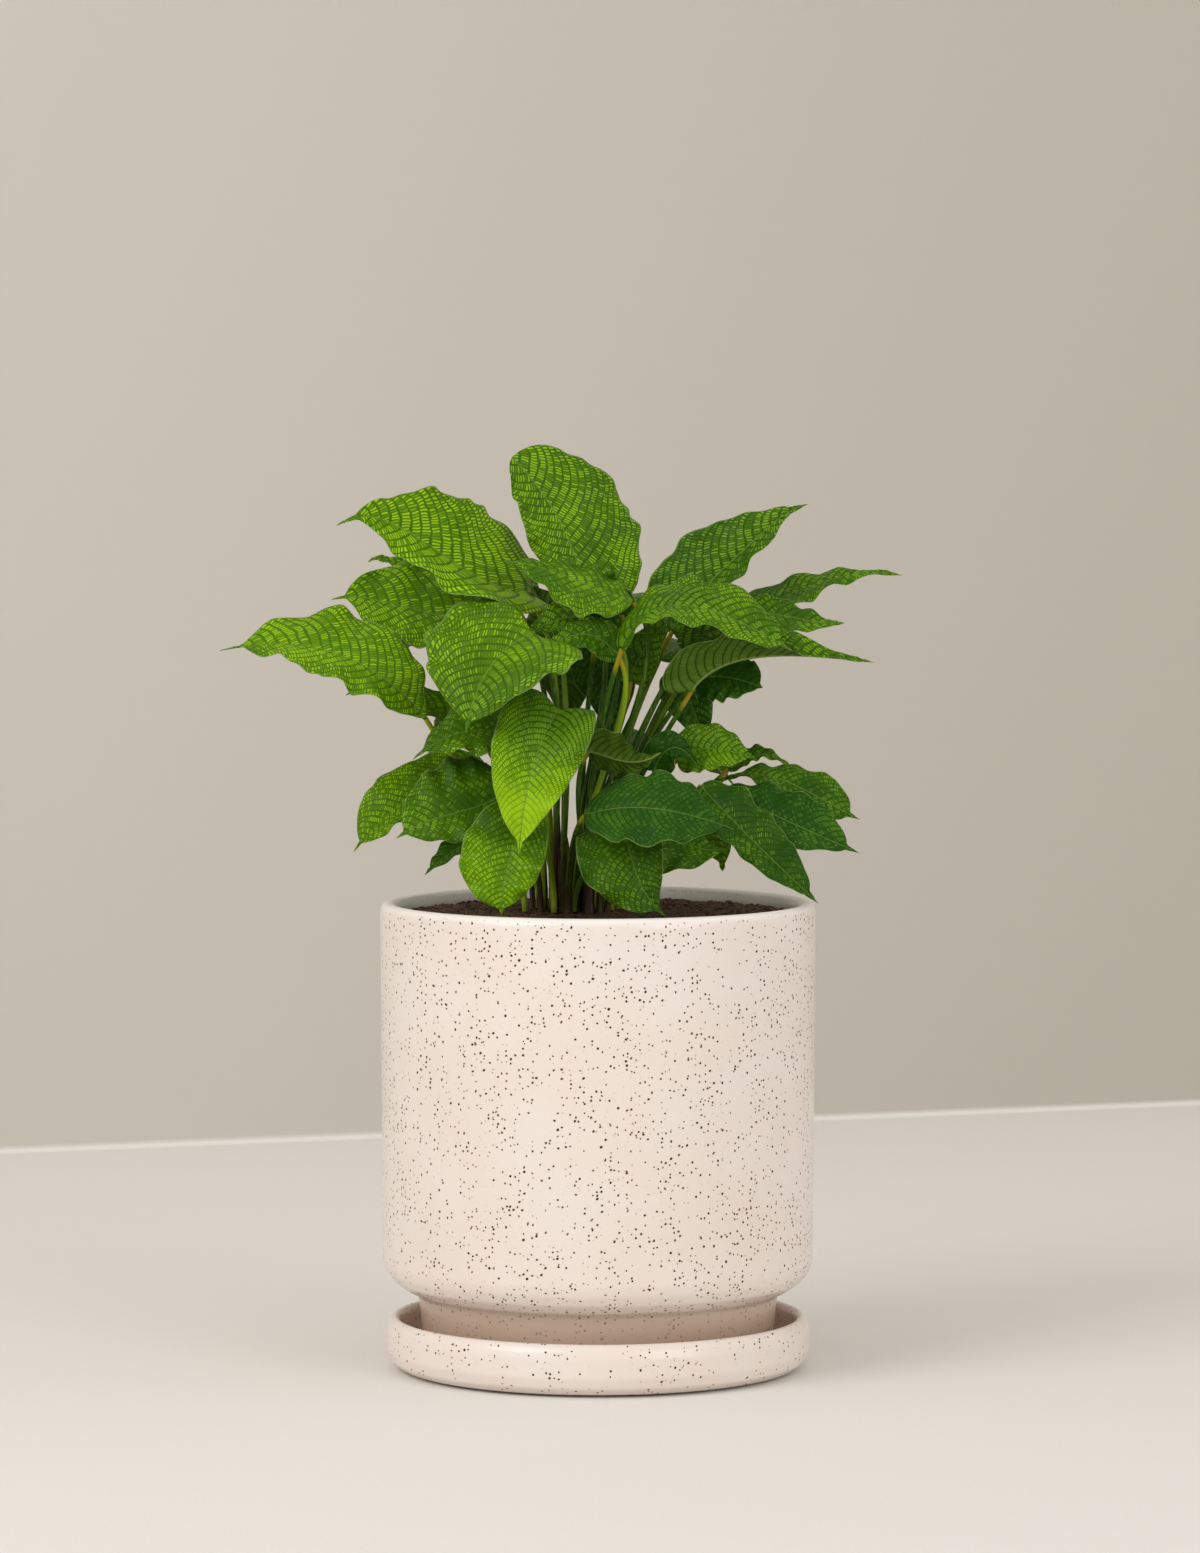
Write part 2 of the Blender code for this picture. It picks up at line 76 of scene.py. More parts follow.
LEAVES = [
    leaf("leaf_top_01", ((0, 16, 348), (-12, 22, 377), (-24, 26, 400), (-45, 24, 424)),
         ((0.2, -0.9, 0.3), (0.3, -0.95, 0.2)), (17, 34), (6, 4), shape=(0.4, 0.5), lobe=0.2),
    leaf("leaf_top_02", ((-32, 21, 355), (-65, 0, 370), (-92, -10, 387), (-117, -12, 391)),
         ((0.1, -0.3, 0.95), (-0.1, -0.9, 0.45)), (24, 34), (10, 38), lobe=1.1, hook=(-3, 0, -4)),
    leaf("leaf_top_03", ((-60, 34, 350), (-78, 36, 360), (-94, 36, 370), (-105, 34, 370.5)),
         ((0, -0.5, 0.85), (0, -0.5, 0.85)), (10, 8)),
    leaf("leaf_top_04", ((16, -7, 352), (0, -7, 358.5), (-20, -7, 366), (-43, -7, 371)),
         ((0, -0.35, 0.9), (0, -0.35, 0.9)), (20, 16), (-10, 10), shape=(0.8, 1.0), lobe=0.1),
    leaf("leaf_top_05", ((11, 17, 346), (8, 17, 355), (6, 11, 363), (9, 10, 371)),
         ((0.2, -0.9, 0.2), (-0.2, -0.9, 0.2)), (9, 8), (30, 35)),
    leaf("leaf_top_06", ((34, 12, 339), (50, 13, 360), (71, 11, 380), (94, 8, 401)),
         ((-0.48, -0.8, 0.36), (-0.48, -0.8, 0.36)), (23, 14), (25, 25),
         foot=(2, 5), shape=(0.5, 0.9), lobe=0.8, hook=(2, 0, -4)),
    leaf("leaf_left_01", ((-43, -9, 333), (-70, 3, 345), (-97, 9, 352), (-119, 8, 356.5)),
         ((0, -0.72, 0.65), (0, -0.72, 0.65)), (25, 28), (14, 14),
         hook=(-3, 0, -3), shape=(0.8, 0.85), lobe=0.2),
    leaf("leaf_left_02", ((-79, -19, 299), (-102, -28, 320), (-133, -22, 332), (-173, -10, 330)),
         ((-0.15, -0.8, 0.6), (0.1, -0.45, 0.9)), (19, 25), (16, 18), foot=(0, -4), shape=(1.0, 0.75)),
    leaf("leaf_left_03", ((-62, 31, 300), (-80, 28, 306), (-98, 22, 312), (-115.5, 16, 309.5)),
         ((0, -0.5, 0.85), (0, -0.5, 0.85)), (12, 12)),
    leaf("leaf_left_04", ((-31, -19, 290), (-47, -27, 293), (-64, -32, 292), (-85, -34, 280)),
         ((0, -0.6, 0.8), (0, -0.6, 0.8)), (17, 16), (6, 18), foot=(-2, 2), shape=(0.5, 0.75)),
    leaf("leaf_left_05", ((-52, 8, 278), (-74, 0, 270.5), (-95, -8, 256), (-112, -12, 237.6)),
         ((-0.3, -0.8, 0.5), (-0.3, -0.8, 0.5)), (13, 17), shape=(0.8, 0.7)),
    leaf("leaf_left_06", ((-42, -30, 266), (-57, -36, 258), (-74, -40, 253), (-92.6, -42, 243.8)),
         ((-0.1, -0.9, 0.4), (-0.1, -0.9, 0.4)), (15, 26), (14, 8), foot=(-3, -1), shape=(0.45, 0.6)),
    leaf("leaf_left_07", ((-46, 14, 246), (-57, 6, 243), (-68, -4, 237), (-79.4, -12, 227)),
         ((-0.2, -0.5, 0.8), (-0.2, -0.5, 0.8)), (9, 9), foot=(0, -4), shape=(0.5, 0.7)),
    leaf("leaf_front_01", ((-30, -32, 338), (-45, -46, 328), (-55, -58, 312), (-60.5, -62, 292)),
         ((-0.25, -0.8, 0.55), (-0.2, -0.9, 0.3)), (38, 38), (22, 6),
         foot=(0, -2), shape=(0.4, 0.95), lobe=0.35),
    leaf("leaf_front_02", ((11, -22, 331), (30, -28, 350), (58, -31, 346), (89.6, -26, 329.5)),
         ((0.0, -0.35, 0.95), (0.1, -0.8, 0.5)), (21, 13), (5, 14), shape=(0.5, 0.45)),
    leaf("leaf_front_03", ((-18, -46, 303), (-27, -60, 285), (-33, -66, 263), (-36.4, -64, 235.8)),
         ((-0.05, -0.8, 0.5), (0, -1, 0.05)), (21, 22), (12, 12), shape=(0.3, 0.75), lobe=0.7),
    leaf("leaf_front_04", ((-30, -44, 262), (-38, -58, 241), (-43, -64, 224), (-44.3, -64, 208)),
         ((-0.1, -0.95, 0.2), (-0.1, -0.95, 0.2)), (15, 23), (10, 10), foot=(0, -3), shape=(0.6, 0.65)),
    leaf("leaf_front_05", ((-6, -56, 254.5), (15, -67, 258), (38, -72, 255.5), (62.7, -66, 247.7)),
         ((0, -0.75, 0.65), (0, -0.75, 0.65)), (21, 20), (8, 6), shape=(0.8, 0.85)),
    leaf("leaf_front_06", ((10, -40, 252), (14, -54, 240), (19, -60, 224), (31, -60, 208)),
         ((0, -0.95, 0.2), (0, -0.95, 0.2)), (15, 24), (10, 10), shape=(0.5, 0.75)),
    leaf("leaf_front_07", ((0, -28, 256), (8, -30, 262), (14, -32, 267), (22, -34, 271)),
         ((0, -0.95, 0.2), (0, -0.95, 0.2)), (7, 7), foot=(2, 0), shape=(0.5, 0.7)),
    leaf("leaf_mid_01", ((7, -6, 338), (-8, -5, 345), (-22, -5, 343), (-38, -7, 334)),
         ((0, -0.8, 0.5), (0, -0.8, 0.5)), (12, 12)),
    leaf("leaf_mid_02", ((9, -11, 328), (-3, -15, 337), (-14, -18, 336), (-30, -22, 331)),
         ((0, -0.8, 0.5), (0, -0.8, 0.5)), (10, 10), foot=(-3, -3)),
    leaf("leaf_mid_03", ((-18, 27, 332), (-22, 32, 343), (-27, 36, 353), (-32, 37, 363)),
         ((0.2, 0.9, 0.2), (0.2, 0.9, 0.2)), (13, 13)),
    leaf("leaf_mid_04", ((15, 6, 316), (19, 5, 327), (27, 4, 338), (38, 3, 348)),
         ((0, -0.9, 0.3), (0, -0.9, 0.3)), (10, 10)),
    leaf("leaf_mid_05", ((40, -3, 330), (50, -5, 338), (60, -6, 339), (71, -7, 337)),
         ((0, -0.8, 0.5), (0, -0.8, 0.5)), (9, 9)),
    leaf("leaf_mid_06", ((-4, -20, 284), (6, -25, 281), (17, -27, 279), (29, -27, 283.5)),
         ((0, 0.85, 0.5), (0, 0.85, 0.5)), (11, 13), foot=(7, -5)),
    leaf("leaf_mid_07", ((26, -15, 275), (31, -18, 284), (38, -19, 285), (46, -19, 276)),
         ((0, -0.95, 0.3), (0, -0.95, 0.3)), (9, 9), foot=(1, -6)),
    leaf("leaf_mid_08", ((-1, 30, 336), (2, 34, 322), (6, 34, 304), (9, 30, 284)),
         ((0, -0.95, 0.1), (0, -0.95, 0.1)), (16, 15), (8, 8), foot=(3, 2)),
    leaf("leaf_mid_09", ((37, 21, 320), (41, 22, 310), (46, 22, 297), (50, 20, 284)),
         ((0, -0.95, 0.1), (0, -0.95, 0.1)), (12, 12), (8, 8), foot=(4, 6)),
    leaf("leaf_right_01", ((55, 24, 344), (81, 31, 353), (108, 29, 363), (139, 24, 364.5)),
         ((-0.2, -0.4, 0.9), (-0.1, -0.4, 0.9)), (15, 14), (12, 2)),
    leaf("leaf_right_02", ((60, 13, 345), (78, 10, 347), (95, 6, 344), (113, 3, 342.7)),
         ((0, -0.7, 0.7), (0, -0.7, 0.7)), (9, 14), foot=(0, 2), shape=(0.5, 0.8)),
    leaf("leaf_right_03", ((43, -9, 312), (62, -15, 325), (90, -15, 328), (126.4, -14, 324.6)),
         ((-0.45, 0.85, 0.2), (0.2, -0.6, 1)), (21, 17), (60, 20), (0, 0),
         foot=(2, 3), shape=(0.3, 1.0), lobe=0.8),
    leaf("leaf_right_04", ((46, 10, 317), (57, 8, 318), (67, 3, 316), (75.5, -2, 313)),
         ((0.1, -0.9, 0.4), (0.1, -0.9, 0.4)), (13, 14), shape=(0.5, 0.6)),
    leaf("leaf_right_05", ((36, -6, 280), (48, -8, 285), (60, -10, 284), (72, -10, 281)),
         ((0, -0.85, 0.5), (0, -0.85, 0.5)), (12, 13), shape=(0.5, 0.8)),
    leaf("leaf_right_06", ((60, 32, 276), (69, 32, 281), (78, 30, 282), (89, 28, 275.5)),
         ((0, -0.5, 0.85), (0, -0.5, 0.85)), (7, 7), foot=(2, 4)),
    leaf("leaf_right_07", ((55, 4, 270), (76, 2, 273), (97, 0, 265), (120, -2, 252.5)),
         ((0, -0.05, 1), (0.3, -1, 0.1)), (13, 9), (5, 5), shape=(1.1, 0.5)),
    leaf("leaf_right_08", ((58, -8, 266), (76, -15, 257), (95, -18, 248), (120, -18, 237)),
         ((0.2, -0.65, 0.7), (0.2, -0.85, 0.5)), (17, 12), (16, 20), shape=(0.7, 0.6)),
    leaf("leaf_right_09", ((47, -16, 268), (62, -26, 252), (80, -34, 234), (101, -38, 214)),
         ((0.2, -0.85, 0.4), (0.2, -0.85, 0.4)), (15, 11), shape=(0.6, 0.65)),
    leaf("leaf_right_10", ((16, -26, 250), (30, -30, 246), (44, -33, 240), (60, -34, 239)),
         ((0, -0.8, 0.5), (0, -0.8, 0.5)), (14, 21), foot=(3, -1), shape=(0.4, 0.9)),
    leaf("leaf_right_11", ((42, -12, 250), (49, -13, 246), (55, -15, 238), (57, -16, 228.6)),
         ((0, -0.9, 0.3), (0, -0.9, 0.3)), (13, 8), foot=(3, -5)),
    leaf("leaf_back_01", ((-16, 40, 329), (-16, 52, 327), (-15, 61, 311), (-14, 63, 284)),
         ((0, 0.5, 0.85), (0, 0.95, 0.2)), (16, 22)),
    leaf("leaf_back_02", ((9, 62, 346), (4, 86, 353), (0, 112, 347), (0, 138, 332)),
         ((0, 0.2, 1), (0, 0.6, 0.8)), (24, 24), foot=(0, 4)),
    leaf("leaf_back_03", ((-45, 56, 333), (-60, 80, 343), (-78, 104, 338), (-98, 124, 322)),
         ((-0.1, 0.2, 1), (-0.4, 0.5, 0.8)), (24, 24)),
    leaf("leaf_back_04", ((28, 58, 326), (42, 82, 332), (58, 106, 326), (72, 128, 314)),
         ((0.1, 0.2, 1), (0.4, 0.5, 0.8)), (24, 24), foot=(-7, 1)),
    leaf("leaf_back_05", ((-39, 53, 298), (-53, 75, 302), (-65, 96, 296), (-80, 116, 278)),
         ((-0.1, 0.2, 1), (-0.4, 0.5, 0.8)), (22, 22), foot=(-3, 3)),
    leaf("leaf_back_06", ((22, 46, 284), (34, 70, 288), (48, 92, 282), (64, 110, 266)),
         ((0.1, 0.2, 1), (0.4, 0.5, 0.8)), (22, 22), foot=(2, -4)),
    leaf("leaf_back_07", ((-30, 44, 262), (-42, 66, 262), (-54, 88, 252), (-66, 104, 236)),
         ((-0.1, 0.2, 1), (-0.4, 0.5, 0.8)), (20, 20)),
    leaf("leaf_back_08", ((4, 46, 256), (14, 66, 256), (26, 86, 248), (38, 102, 232)),
         ((0.1, 0.2, 1), (0.4, 0.5, 0.8)), (20, 20), foot=(7, -3)),
    leaf("leaf_back_09", ((44, 42, 338), (60, 62, 344), (76, 82, 345), (94, 100, 340)),
         ((0.1, 0.1, 1), (0.4, 0.4, 0.8)), (20, 20)),
    leaf("leaf_back_10", ((-38, 49, 352), (-54, 67, 364), (-70, 84, 366), (-92, 100, 358)),
         ((-0.1, 0.1, 1), (-0.4, 0.4, 0.8)), (22, 22), foot=(4, 3)),
]

# Old stems: foot (x, y), top (x, y, z), radius at the foot and at the top
OLD_STEMS = {
    "old_stem_01": ((-14, -8), (-14.5, -8, 245), 2.2, 1.2),
    "old_stem_02": ((-15, -3), (-18.5, -4, 241), 2.5, 1.1),
    "old_stem_03": ((-14, 5), (-17, 7, 236), 2.2, 1.2),
    "old_stem_04": ((-4, -15), (-4, -15, 227), 2.0, 1.0),
}

# How each blade looks: tone from deep green (0) to lime (1), which also takes the dashes from painted shade
# to painted light, share of bright dashes, tone gained towards the tip, and the spacing of the side veins
LOOKS = {
    "leaf_top_01": (0.36, 0.60, 0.00, 5.0),
    "leaf_top_02": (0.54, 0.72, 0.00, 5.9),
    "leaf_top_03": (0.40, 0.50, 0.00, 4.0),
    "leaf_top_04": (0.36, 0.50, 0.00, 4.4),
    "leaf_top_05": (0.30, 0.30, 0.00, 4.0),
    "leaf_top_06": (0.26, 0.55, 0.00, 4.9),
    "leaf_left_01": (0.46, 0.50, 0.00, 5.4),
    "leaf_left_02": (0.46, 0.55, 0.05, 5.0),
    "leaf_left_03": (0.35, 0.40, 0.00, 4.2),
    "leaf_left_04": (0.34, 0.30, 0.00, 4.2),
    "leaf_left_05": (0.46, 0.50, 0.00, 3.4),
    "leaf_left_06": (0.26, 0.36, 0.05, 3.6),
    "leaf_left_07": (0.22, 0.25, 0.00, 3.4),
    "leaf_front_01": (0.44, 0.45, -0.10, 4.8),
    "leaf_front_02": (0.28, 0.60, 0.05, 4.4),
    "leaf_front_03": (0.26, 0.75, 0.75, 3.2),
    "leaf_front_04": (0.30, 0.42, 0.35, 3.2),
    "leaf_front_05": (0.06, 0.42, 0.00, 3.2),
    "leaf_front_06": (0.24, 0.40, 0.00, 3.2),
    "leaf_front_07": (0.10, 0.25, 0.00, 3.0),
    "leaf_mid_06": (0.35, 0.30, 0.00, 3.4),
    "leaf_mid_07": (0.02, 0.20, 0.00, 3.4),
    "leaf_mid_08": (0.14, 0.45, 0.00, 3.6),
    "leaf_mid_09": (0.12, 0.40, 0.00, 3.6),
    "leaf_right_01": (0.26, 0.45, 0.00, 4.2),
    "leaf_right_02": (0.30, 0.45, 0.00, 4.2),
    "leaf_right_03": (0.30, 0.40, 0.00, 4.6),
    "leaf_right_04": (0.10, 0.35, 0.00, 3.8),
    "leaf_right_05": (0.34, 0.55, 0.00, 3.2),
    "leaf_right_07": (0.20, 0.50, 0.00, 3.4),
    "leaf_right_08": (0.02, 0.45, 0.05, 3.6),
    "leaf_right_09": (0.16, 0.30, 0.00, 3.6),
    "leaf_right_10": (0.24, 0.40, 0.00, 3.4),
    "leaf_right_11": (0.45, 0.35, 0.00, 3.2),
}
PLAIN_LOOK = (0.26, 0.45, 0.0, 4.4)

# Blades whose margins are more or less wavy than the rest, or whose drip tip is short
EDGES = {
    "leaf_top_01": {"Tail": 0.0, "Scallop": 1.3, "Frill": 1.6},
    "leaf_top_02": {"Scallop": 1.2},
    "leaf_left_02": {"Frill": 1.5},
    "leaf_left_05": {"Scallop": 1.4, "Frill": 1.4},
    "leaf_left_06": {"Scallop": 0.7, "Frill": 0.6},
    "leaf_front_03": {"Scallop": 0.5, "Frill": 0.7},
    "leaf_front_04": {"Scallop": 0.3, "Frill": 0.5},
    "leaf_front_05": {"Scallop": 0.7},
    "leaf_front_06": {"Scallop": 0.7},
    "leaf_right_04": {"Scallop": 0.5, "Frill": 0.4},
    "leaf_right_05": {"Scallop": 0.3, "Frill": 0.4},
    "leaf_right_06": {"Scallop": 0.4, "Frill": 0.2},
    "leaf_right_07": {"Scallop": 1.8, "Frill": 1.4},
    "leaf_right_08": {"Scallop": 1.8, "Frill": 1.4},
    "leaf_right_09": {"Scallop": 1.8, "Frill": 1.6},
}


def at(x, y, z):
    """The point at depth y that lines up with (x, z) of the axis plane from the front viewpoint."""
    reach = 1 + y / VIEW_DISTANCE
    return Vector((x * reach, y, VIEW_HEIGHT - (VIEW_HEIGHT - z) * reach))


def first_tangent(mid):
    """Direction of the cubic through the four points of a midrib as it leaves the knuckle."""
    return (mid[0] * -5.5 + mid[1] * 9.0 - mid[2] * 4.5 + mid[3]).normalized()


def bezier(a, b, c, d, t):
    s = 1 - t
    return a * s ** 3 + b * (3 * s * s * t) + c * (3 * s * t * t) + d * t ** 3


def stalk_curve(item):
    """Control points of the stalk: it rises from the clump and meets the blade at the knuckle."""
    mid = [at(*point) for point in item["mid"]]
    knuckle = mid[0]
    start = first_tangent(mid)
    foot = (CLUMP + (knuckle.xy - CLUMP) * CLUMP_SPREAD + Vector(item["foot"])).to_3d()
    foot.z = STALK_FOOT_Z
    height = knuckle.z - foot.z
    arrive = (start + Vector((0, 0, max(0.0, 1.0 - start.z)))).normalized()
    return foot, foot + Vector((0, 0, STALK_RISE * height)), knuckle - arrive * (STALK_RUN * height), knuckle


def old_stem_curve(foot, top):
    foot = Vector((*foot, STALK_FOOT_Z))
    top = Vector(top)
    return foot, foot.lerp(top, 1 / 3), foot.lerp(top, 2 / 3), top


def settled_stalks(curves, fixed):
    """Nudges the stalks sideways, their knuckles held, until all stand apart by their radii and the gap."""
    controls = np.array([[tuple(point) for point in curve] for curve in curves + fixed])
    steps = np.linspace(0, 1, SETTLE_STEPS)
    weights = np.array([bezier(*np.eye(4), step) for step in steps])
    radii = np.interp(steps, STALK_STEPS, STALK_RADII)
    reach = radii[:, None] + radii[None, :] + STALK_GAP
    for _ in range(SETTLE_ROUNDS):
        lines = weights @ controls
        moved = False
        for i in range(len(curves)):
            for j in range(i + 1, len(lines)):
                apart = lines[i][:, None] - lines[j][None]
                short = reach - np.linalg.norm(apart, axis=2)
                a, b = np.unravel_index(short.argmax(), short.shape)
                if short[a, b] <= 0:
                    continue
                moved = True
                push = apart[a, b, :2] / np.linalg.norm(apart[a, b, :2]) * short[a, b] * SETTLE_SHARE
                controls[i, :3, :2] += weights[a, :3, None] * push
                if j < len(curves):
                    controls[j, :3, :2] -= weights[b, :3, None] * push
        if not moved:
            break
    return [[Vector(point) for point in curve] for curve in controls[:len(curves)]]


# ---------------------------------------------------------------- sums and products of node fields


def feed(tree, socket, value):
    """Links a field or a socket to the socket, or sets its plain value."""
    if isinstance(value, Field):
        tree.links.new(value.socket, socket)
    elif isinstance(value, bpy.types.NodeSocket):
        tree.links.new(value, socket)
    elif socket.type == "VECTOR" and isinstance(value, (int, float)):
        socket.default_value = (value, value, value)
    else:
        socket.default_value = value


def add_node(tree, kind, inputs=(), **settings):
    """A node with its settings and the inputs given by name or place, each a value or a field."""
    made = tree.nodes.new(kind)
    for key, value in settings.items():
        setattr(made, key, value)
    for key, value in dict(inputs).items():
        feed(tree, made.inputs[key], value)
    return made


class Field:
    """A number or a vector flowing through a node tree, used like an ordinary value in a formula."""

    def __init__(self, tree, socket):
        self.tree = tree
        self.socket = socket

    def vector(self):
        return self.socket.type in ("VECTOR", "RGBA")

    def number(self, operation, *values):
        made = add_node(self.tree, "ShaderNodeMath", enumerate(values), operation=operation)
        return Field(self.tree, made.outputs[0])

    def arrow(self, operation, *values):
        made = add_node(self.tree, "ShaderNodeVectorMath", enumerate(values), operation=operation)
        return Field(self.tree, made.outputs[0])

    def both(self, operation, first, second):
        vectors = [isinstance(value, Field) and value.vector() for value in (first, second)]
        return (self.arrow if any(vectors) else self.number)(operation, first, second)

    def __add__(self, other):
        return self.both("ADD", self, other)

    def __radd__(self, other):
        return self.both("ADD", other, self)

    def __sub__(self, other):
        return self.both("SUBTRACT", self, other)

    def __rsub__(self, other):
        return self.both("SUBTRACT", other, self)

    def __mul__(self, other):
        if self.vector() and not (isinstance(other, Field) and other.vector()):
            made = add_node(self.tree, "ShaderNodeVectorMath", {0: self, "Scale": other}, operation="SCALE")
            return Field(self.tree, made.outputs[0])
        return self.both("MULTIPLY", self, other)

    __rmul__ = __mul__

    def __truediv__(self, other):
        return self.number("DIVIDE", self, other)

    def __pow__(self, other):
        return self.number("POWER", self, other)

    def __neg__(self):
        return self * -1.0

    def __abs__(self):
        return self.number("ABSOLUTE", self)

    def more_than(self, other):
        return self.number("GREATER_THAN", self, other)

    def least(self, other):
        return self.number("MAXIMUM", self, other)

    def most(self, other):
        return self.number("MINIMUM", self, other)

    def sin(self):
        return self.number("SINE", self)

    def cos(self):
        return self.number("COSINE", self)

    def exp(self):
        return self.number("EXPONENT", self)

    def floor(self):
        return self.number("FLOOR", self)

    def fraction(self):
        return self.number("FRACT", self)

    def sign(self):
        return self.number("SIGN", self)

    def sqrt(self):
        return self.number("SQRT", self)

    def unit(self):
        return self.arrow("NORMALIZE", self)

    def cross(self, other):
        return self.arrow("CROSS_PRODUCT", self, other)

    def parts(self):
        made = add_node(self.tree, "ShaderNodeSeparateXYZ", {0: self})
        return [Field(self.tree, socket) for socket in made.outputs]

    def between(self, low, high, start=0.0, end=1.0):
        """A smooth rise from start to end while this value goes from low to high."""
        made = add_node(self.tree, "ShaderNodeMapRange", {0: self, 1: low, 2: high, 3: start, 4: end},
                        interpolation_type="SMOOTHSTEP")
        return Field(self.tree, made.outputs[0])


def joined(tree, x, y, z):
    return Field(tree, add_node(tree, "ShaderNodeCombineXYZ", {0: x, 1: y, 2: z}).outputs[0])


# Places of the two values and of the result among a mix node's sockets
MIX_SOCKETS = {"RGBA": (6, 7, 2), "VECTOR": (4, 5, 1), "FLOAT": (2, 3, 0)}


def kind_of(value):
    """The mix node's kind for a number, a vector, a colour or a field."""
    if isinstance(value, Field):
        return "FLOAT" if value.socket.type == "VALUE" else value.socket.type
    if isinstance(value, (int, float)):
        return "FLOAT"
    return "VECTOR" if len(value) == 3 else "RGBA"


def blend(tree, share, first, second):
    """first where share is 0, second where it is 1: numbers, vectors or colours."""
    kinds = (kind_of(first), kind_of(second))
    kind = next(kind for kind in MIX_SOCKETS if kind in kinds)
    low, high, result = MIX_SOCKETS[kind]
    made = add_node(tree, "ShaderNodeMix", {0: share, low: first, high: second}, data_type=kind)
    return Field(tree, made.outputs[result])


def noise(tree, place, scale, detail=2.0, roughness=0.5):
    made = add_node(tree, "ShaderNodeTexNoise", {"Vector": place, "Scale": scale, "Detail": detail,
                                                 "Roughness": roughness})
    return Field(tree, made.outputs[0])


def cells(tree, place, scale):
    """Distance to the nearest cell centre, and three random numbers for each cell."""
    made = add_node(tree, "ShaderNodeTexVoronoi", {"Vector": place, "Scale": scale}, feature="F1")
    return Field(tree, made.outputs["Distance"]), Field(tree, made.outputs["Color"]).parts()


def chance(tree, place):
    """A random number for each value of a vector."""
    made = add_node(tree, "ShaderNodeTexWhiteNoise", {"Vector": place}, noise_dimensions="3D")
    return Field(tree, made.outputs["Value"])


# ---------------------------------------------------------------- materials

DEEP = (0.012, 0.058, 0.002, 1)
FRESH = (0.078, 0.205, 0.000, 1)
LIME = (0.270, 0.490, 0.006, 1)
# The dashes' colour in painted shade and in painted light
DASH_IN_PAINTED_SHADE = (0.070, 0.220, 0.018, 1)
DASH_IN_PAINTED_LIGHT = (0.420, 0.690, 0.008, 1)
DARK_VEIN = (0.020, 0.060, 0.004, 1)
MIDRIB = (0.150, 0.260, 0.040, 1)
PALE_RIM = (0.330, 0.500, 0.120, 1)
LIGHT_THROUGH = (0.220, 0.500, 0.000, 1)

UNDER_DEEP = (0.036, 0.086, 0.006, 1)
UNDER_FRESH = (0.170, 0.300, 0.020, 1)
UNDER_DASH = (0.200, 0.360, 0.050, 1)
UNDER_VEIN = (0.016, 0.046, 0.003, 1)
UNDER_MIDRIB = (0.280, 0.360, 0.080, 1)
UNDER_THROUGH = (0.350, 0.550, 0.040, 1)

STALK_DARK = (0.026, 0.078, 0.002, 1)
STALK_BRIGHT = (0.240, 0.380, 0.006, 1)
STALK_STREAK = (0.220, 0.340, 0.020, 1)
STALK_BASE = (0.380, 0.500, 0.040, 1)
FOOT_BROWN = (0.100, 0.070, 0.020, 1)
SHEATH_DARK = (0.012, 0.007, 0.004, 1)
SHEATH_BROWN = (0.110, 0.055, 0.024, 1)
KNUCKLE_OCHRE = (0.330, 0.270, 0.010, 1)
HUSK_DARK = (0.018, 0.009, 0.004, 1)
HUSK_BROWN = (0.160, 0.075, 0.028, 1)

PEAT_DARK = (0.024, 0.012, 0.005, 1)
PEAT_BROWN = (0.150, 0.070, 0.026, 1)
FIBRE = (0.160, 0.095, 0.050, 1)
SOIL_MOSS = (0.055, 0.040, 0.012, 1)

BLUSH = (0.790, 0.706, 0.645, 1)
BLUSH_CLOUD = (0.985, 0.965, 0.940)
# Whiter glaze of the rim, also used as painted light on the pot's inner wall
WHITE_GLAZE_AND_PAINTED_LIGHT = (0.920, 0.860, 0.800, 1)
# Tan painted shade for the crease over the pot's foot
TAN_PAINTED_SHADE = (0.460, 0.300, 0.200, 1)
SPECK_HALO = (0.620, 0.400, 0.250, 1)
SPECK_DUST = (0.230, 0.120, 0.060, 1)
IRON_BLACK = (0.010, 0.004, 0.002, 1)
IRON_RUST = (0.150, 0.045, 0.010, 1)

PAPER_DARK = (0.775, 0.745, 0.700, 1)
PAPER_PALE = (0.800, 0.770, 0.725, 1)
# Wall paper at the left, and darkened by painted shade at the right
WALL_LEFT = (0.575, 0.540, 0.480, 1)
WALL_RIGHT_PAINTED_SHADE = (0.485, 0.448, 0.382, 1)
WALL_FOOT = (0.790, 0.760, 0.715, 1)

# The network, in spacings of the side veins. VEIN_LEAN and VEIN_BOW say how far a side vein has moved towards
# the tip at a distance from the midrib, and RUN and RUN_BOW how long it is by then.
VEIN_LEAN = 0.6
VEIN_BOW = 0.55
RUN = 1.166
RUN_BOW = 0.385
DASH_PITCH = 0.24
VEIN_WANDER = 0.35
ROW_WANDER = 0.25

# Where the glaze changes, in metres: at the rim, on the inner wall where it is lifted with painted light,
# # and in the crease over its foot where it is darkened with painted shade
RIM_HEIGHTS = (0.2115, 0.2142)
PAINTED_LIGHT_INNER_HEIGHTS = (0.2, 0.205)
PAINTED_LIGHT_INNER_RADII = (0.0915, 0.0945)
PAINTED_SHADE_FOOT_HEIGHTS = (0.004, 0.010)
PAINTED_SHADE_TOP_HEIGHTS = (0.030, 0.047)
PAINTED_SHADE_RADII = (0.081, 0.089)


def new_material(name):
    """A material, its node tree and the place on the object."""
    made = bpy.data.materials.new(name)
    made.use_nodes = True
    tree = made.node_tree
    return made, tree, Field(tree, add_node(tree, "ShaderNodeTexCoord").outputs["Object"])


def read(tree, name):
    """The three numbers that a piece keeps under a name."""
    return Field(tree, add_node(tree, "ShaderNodeAttribute", attribute_name=name).outputs["Vector"]).parts()


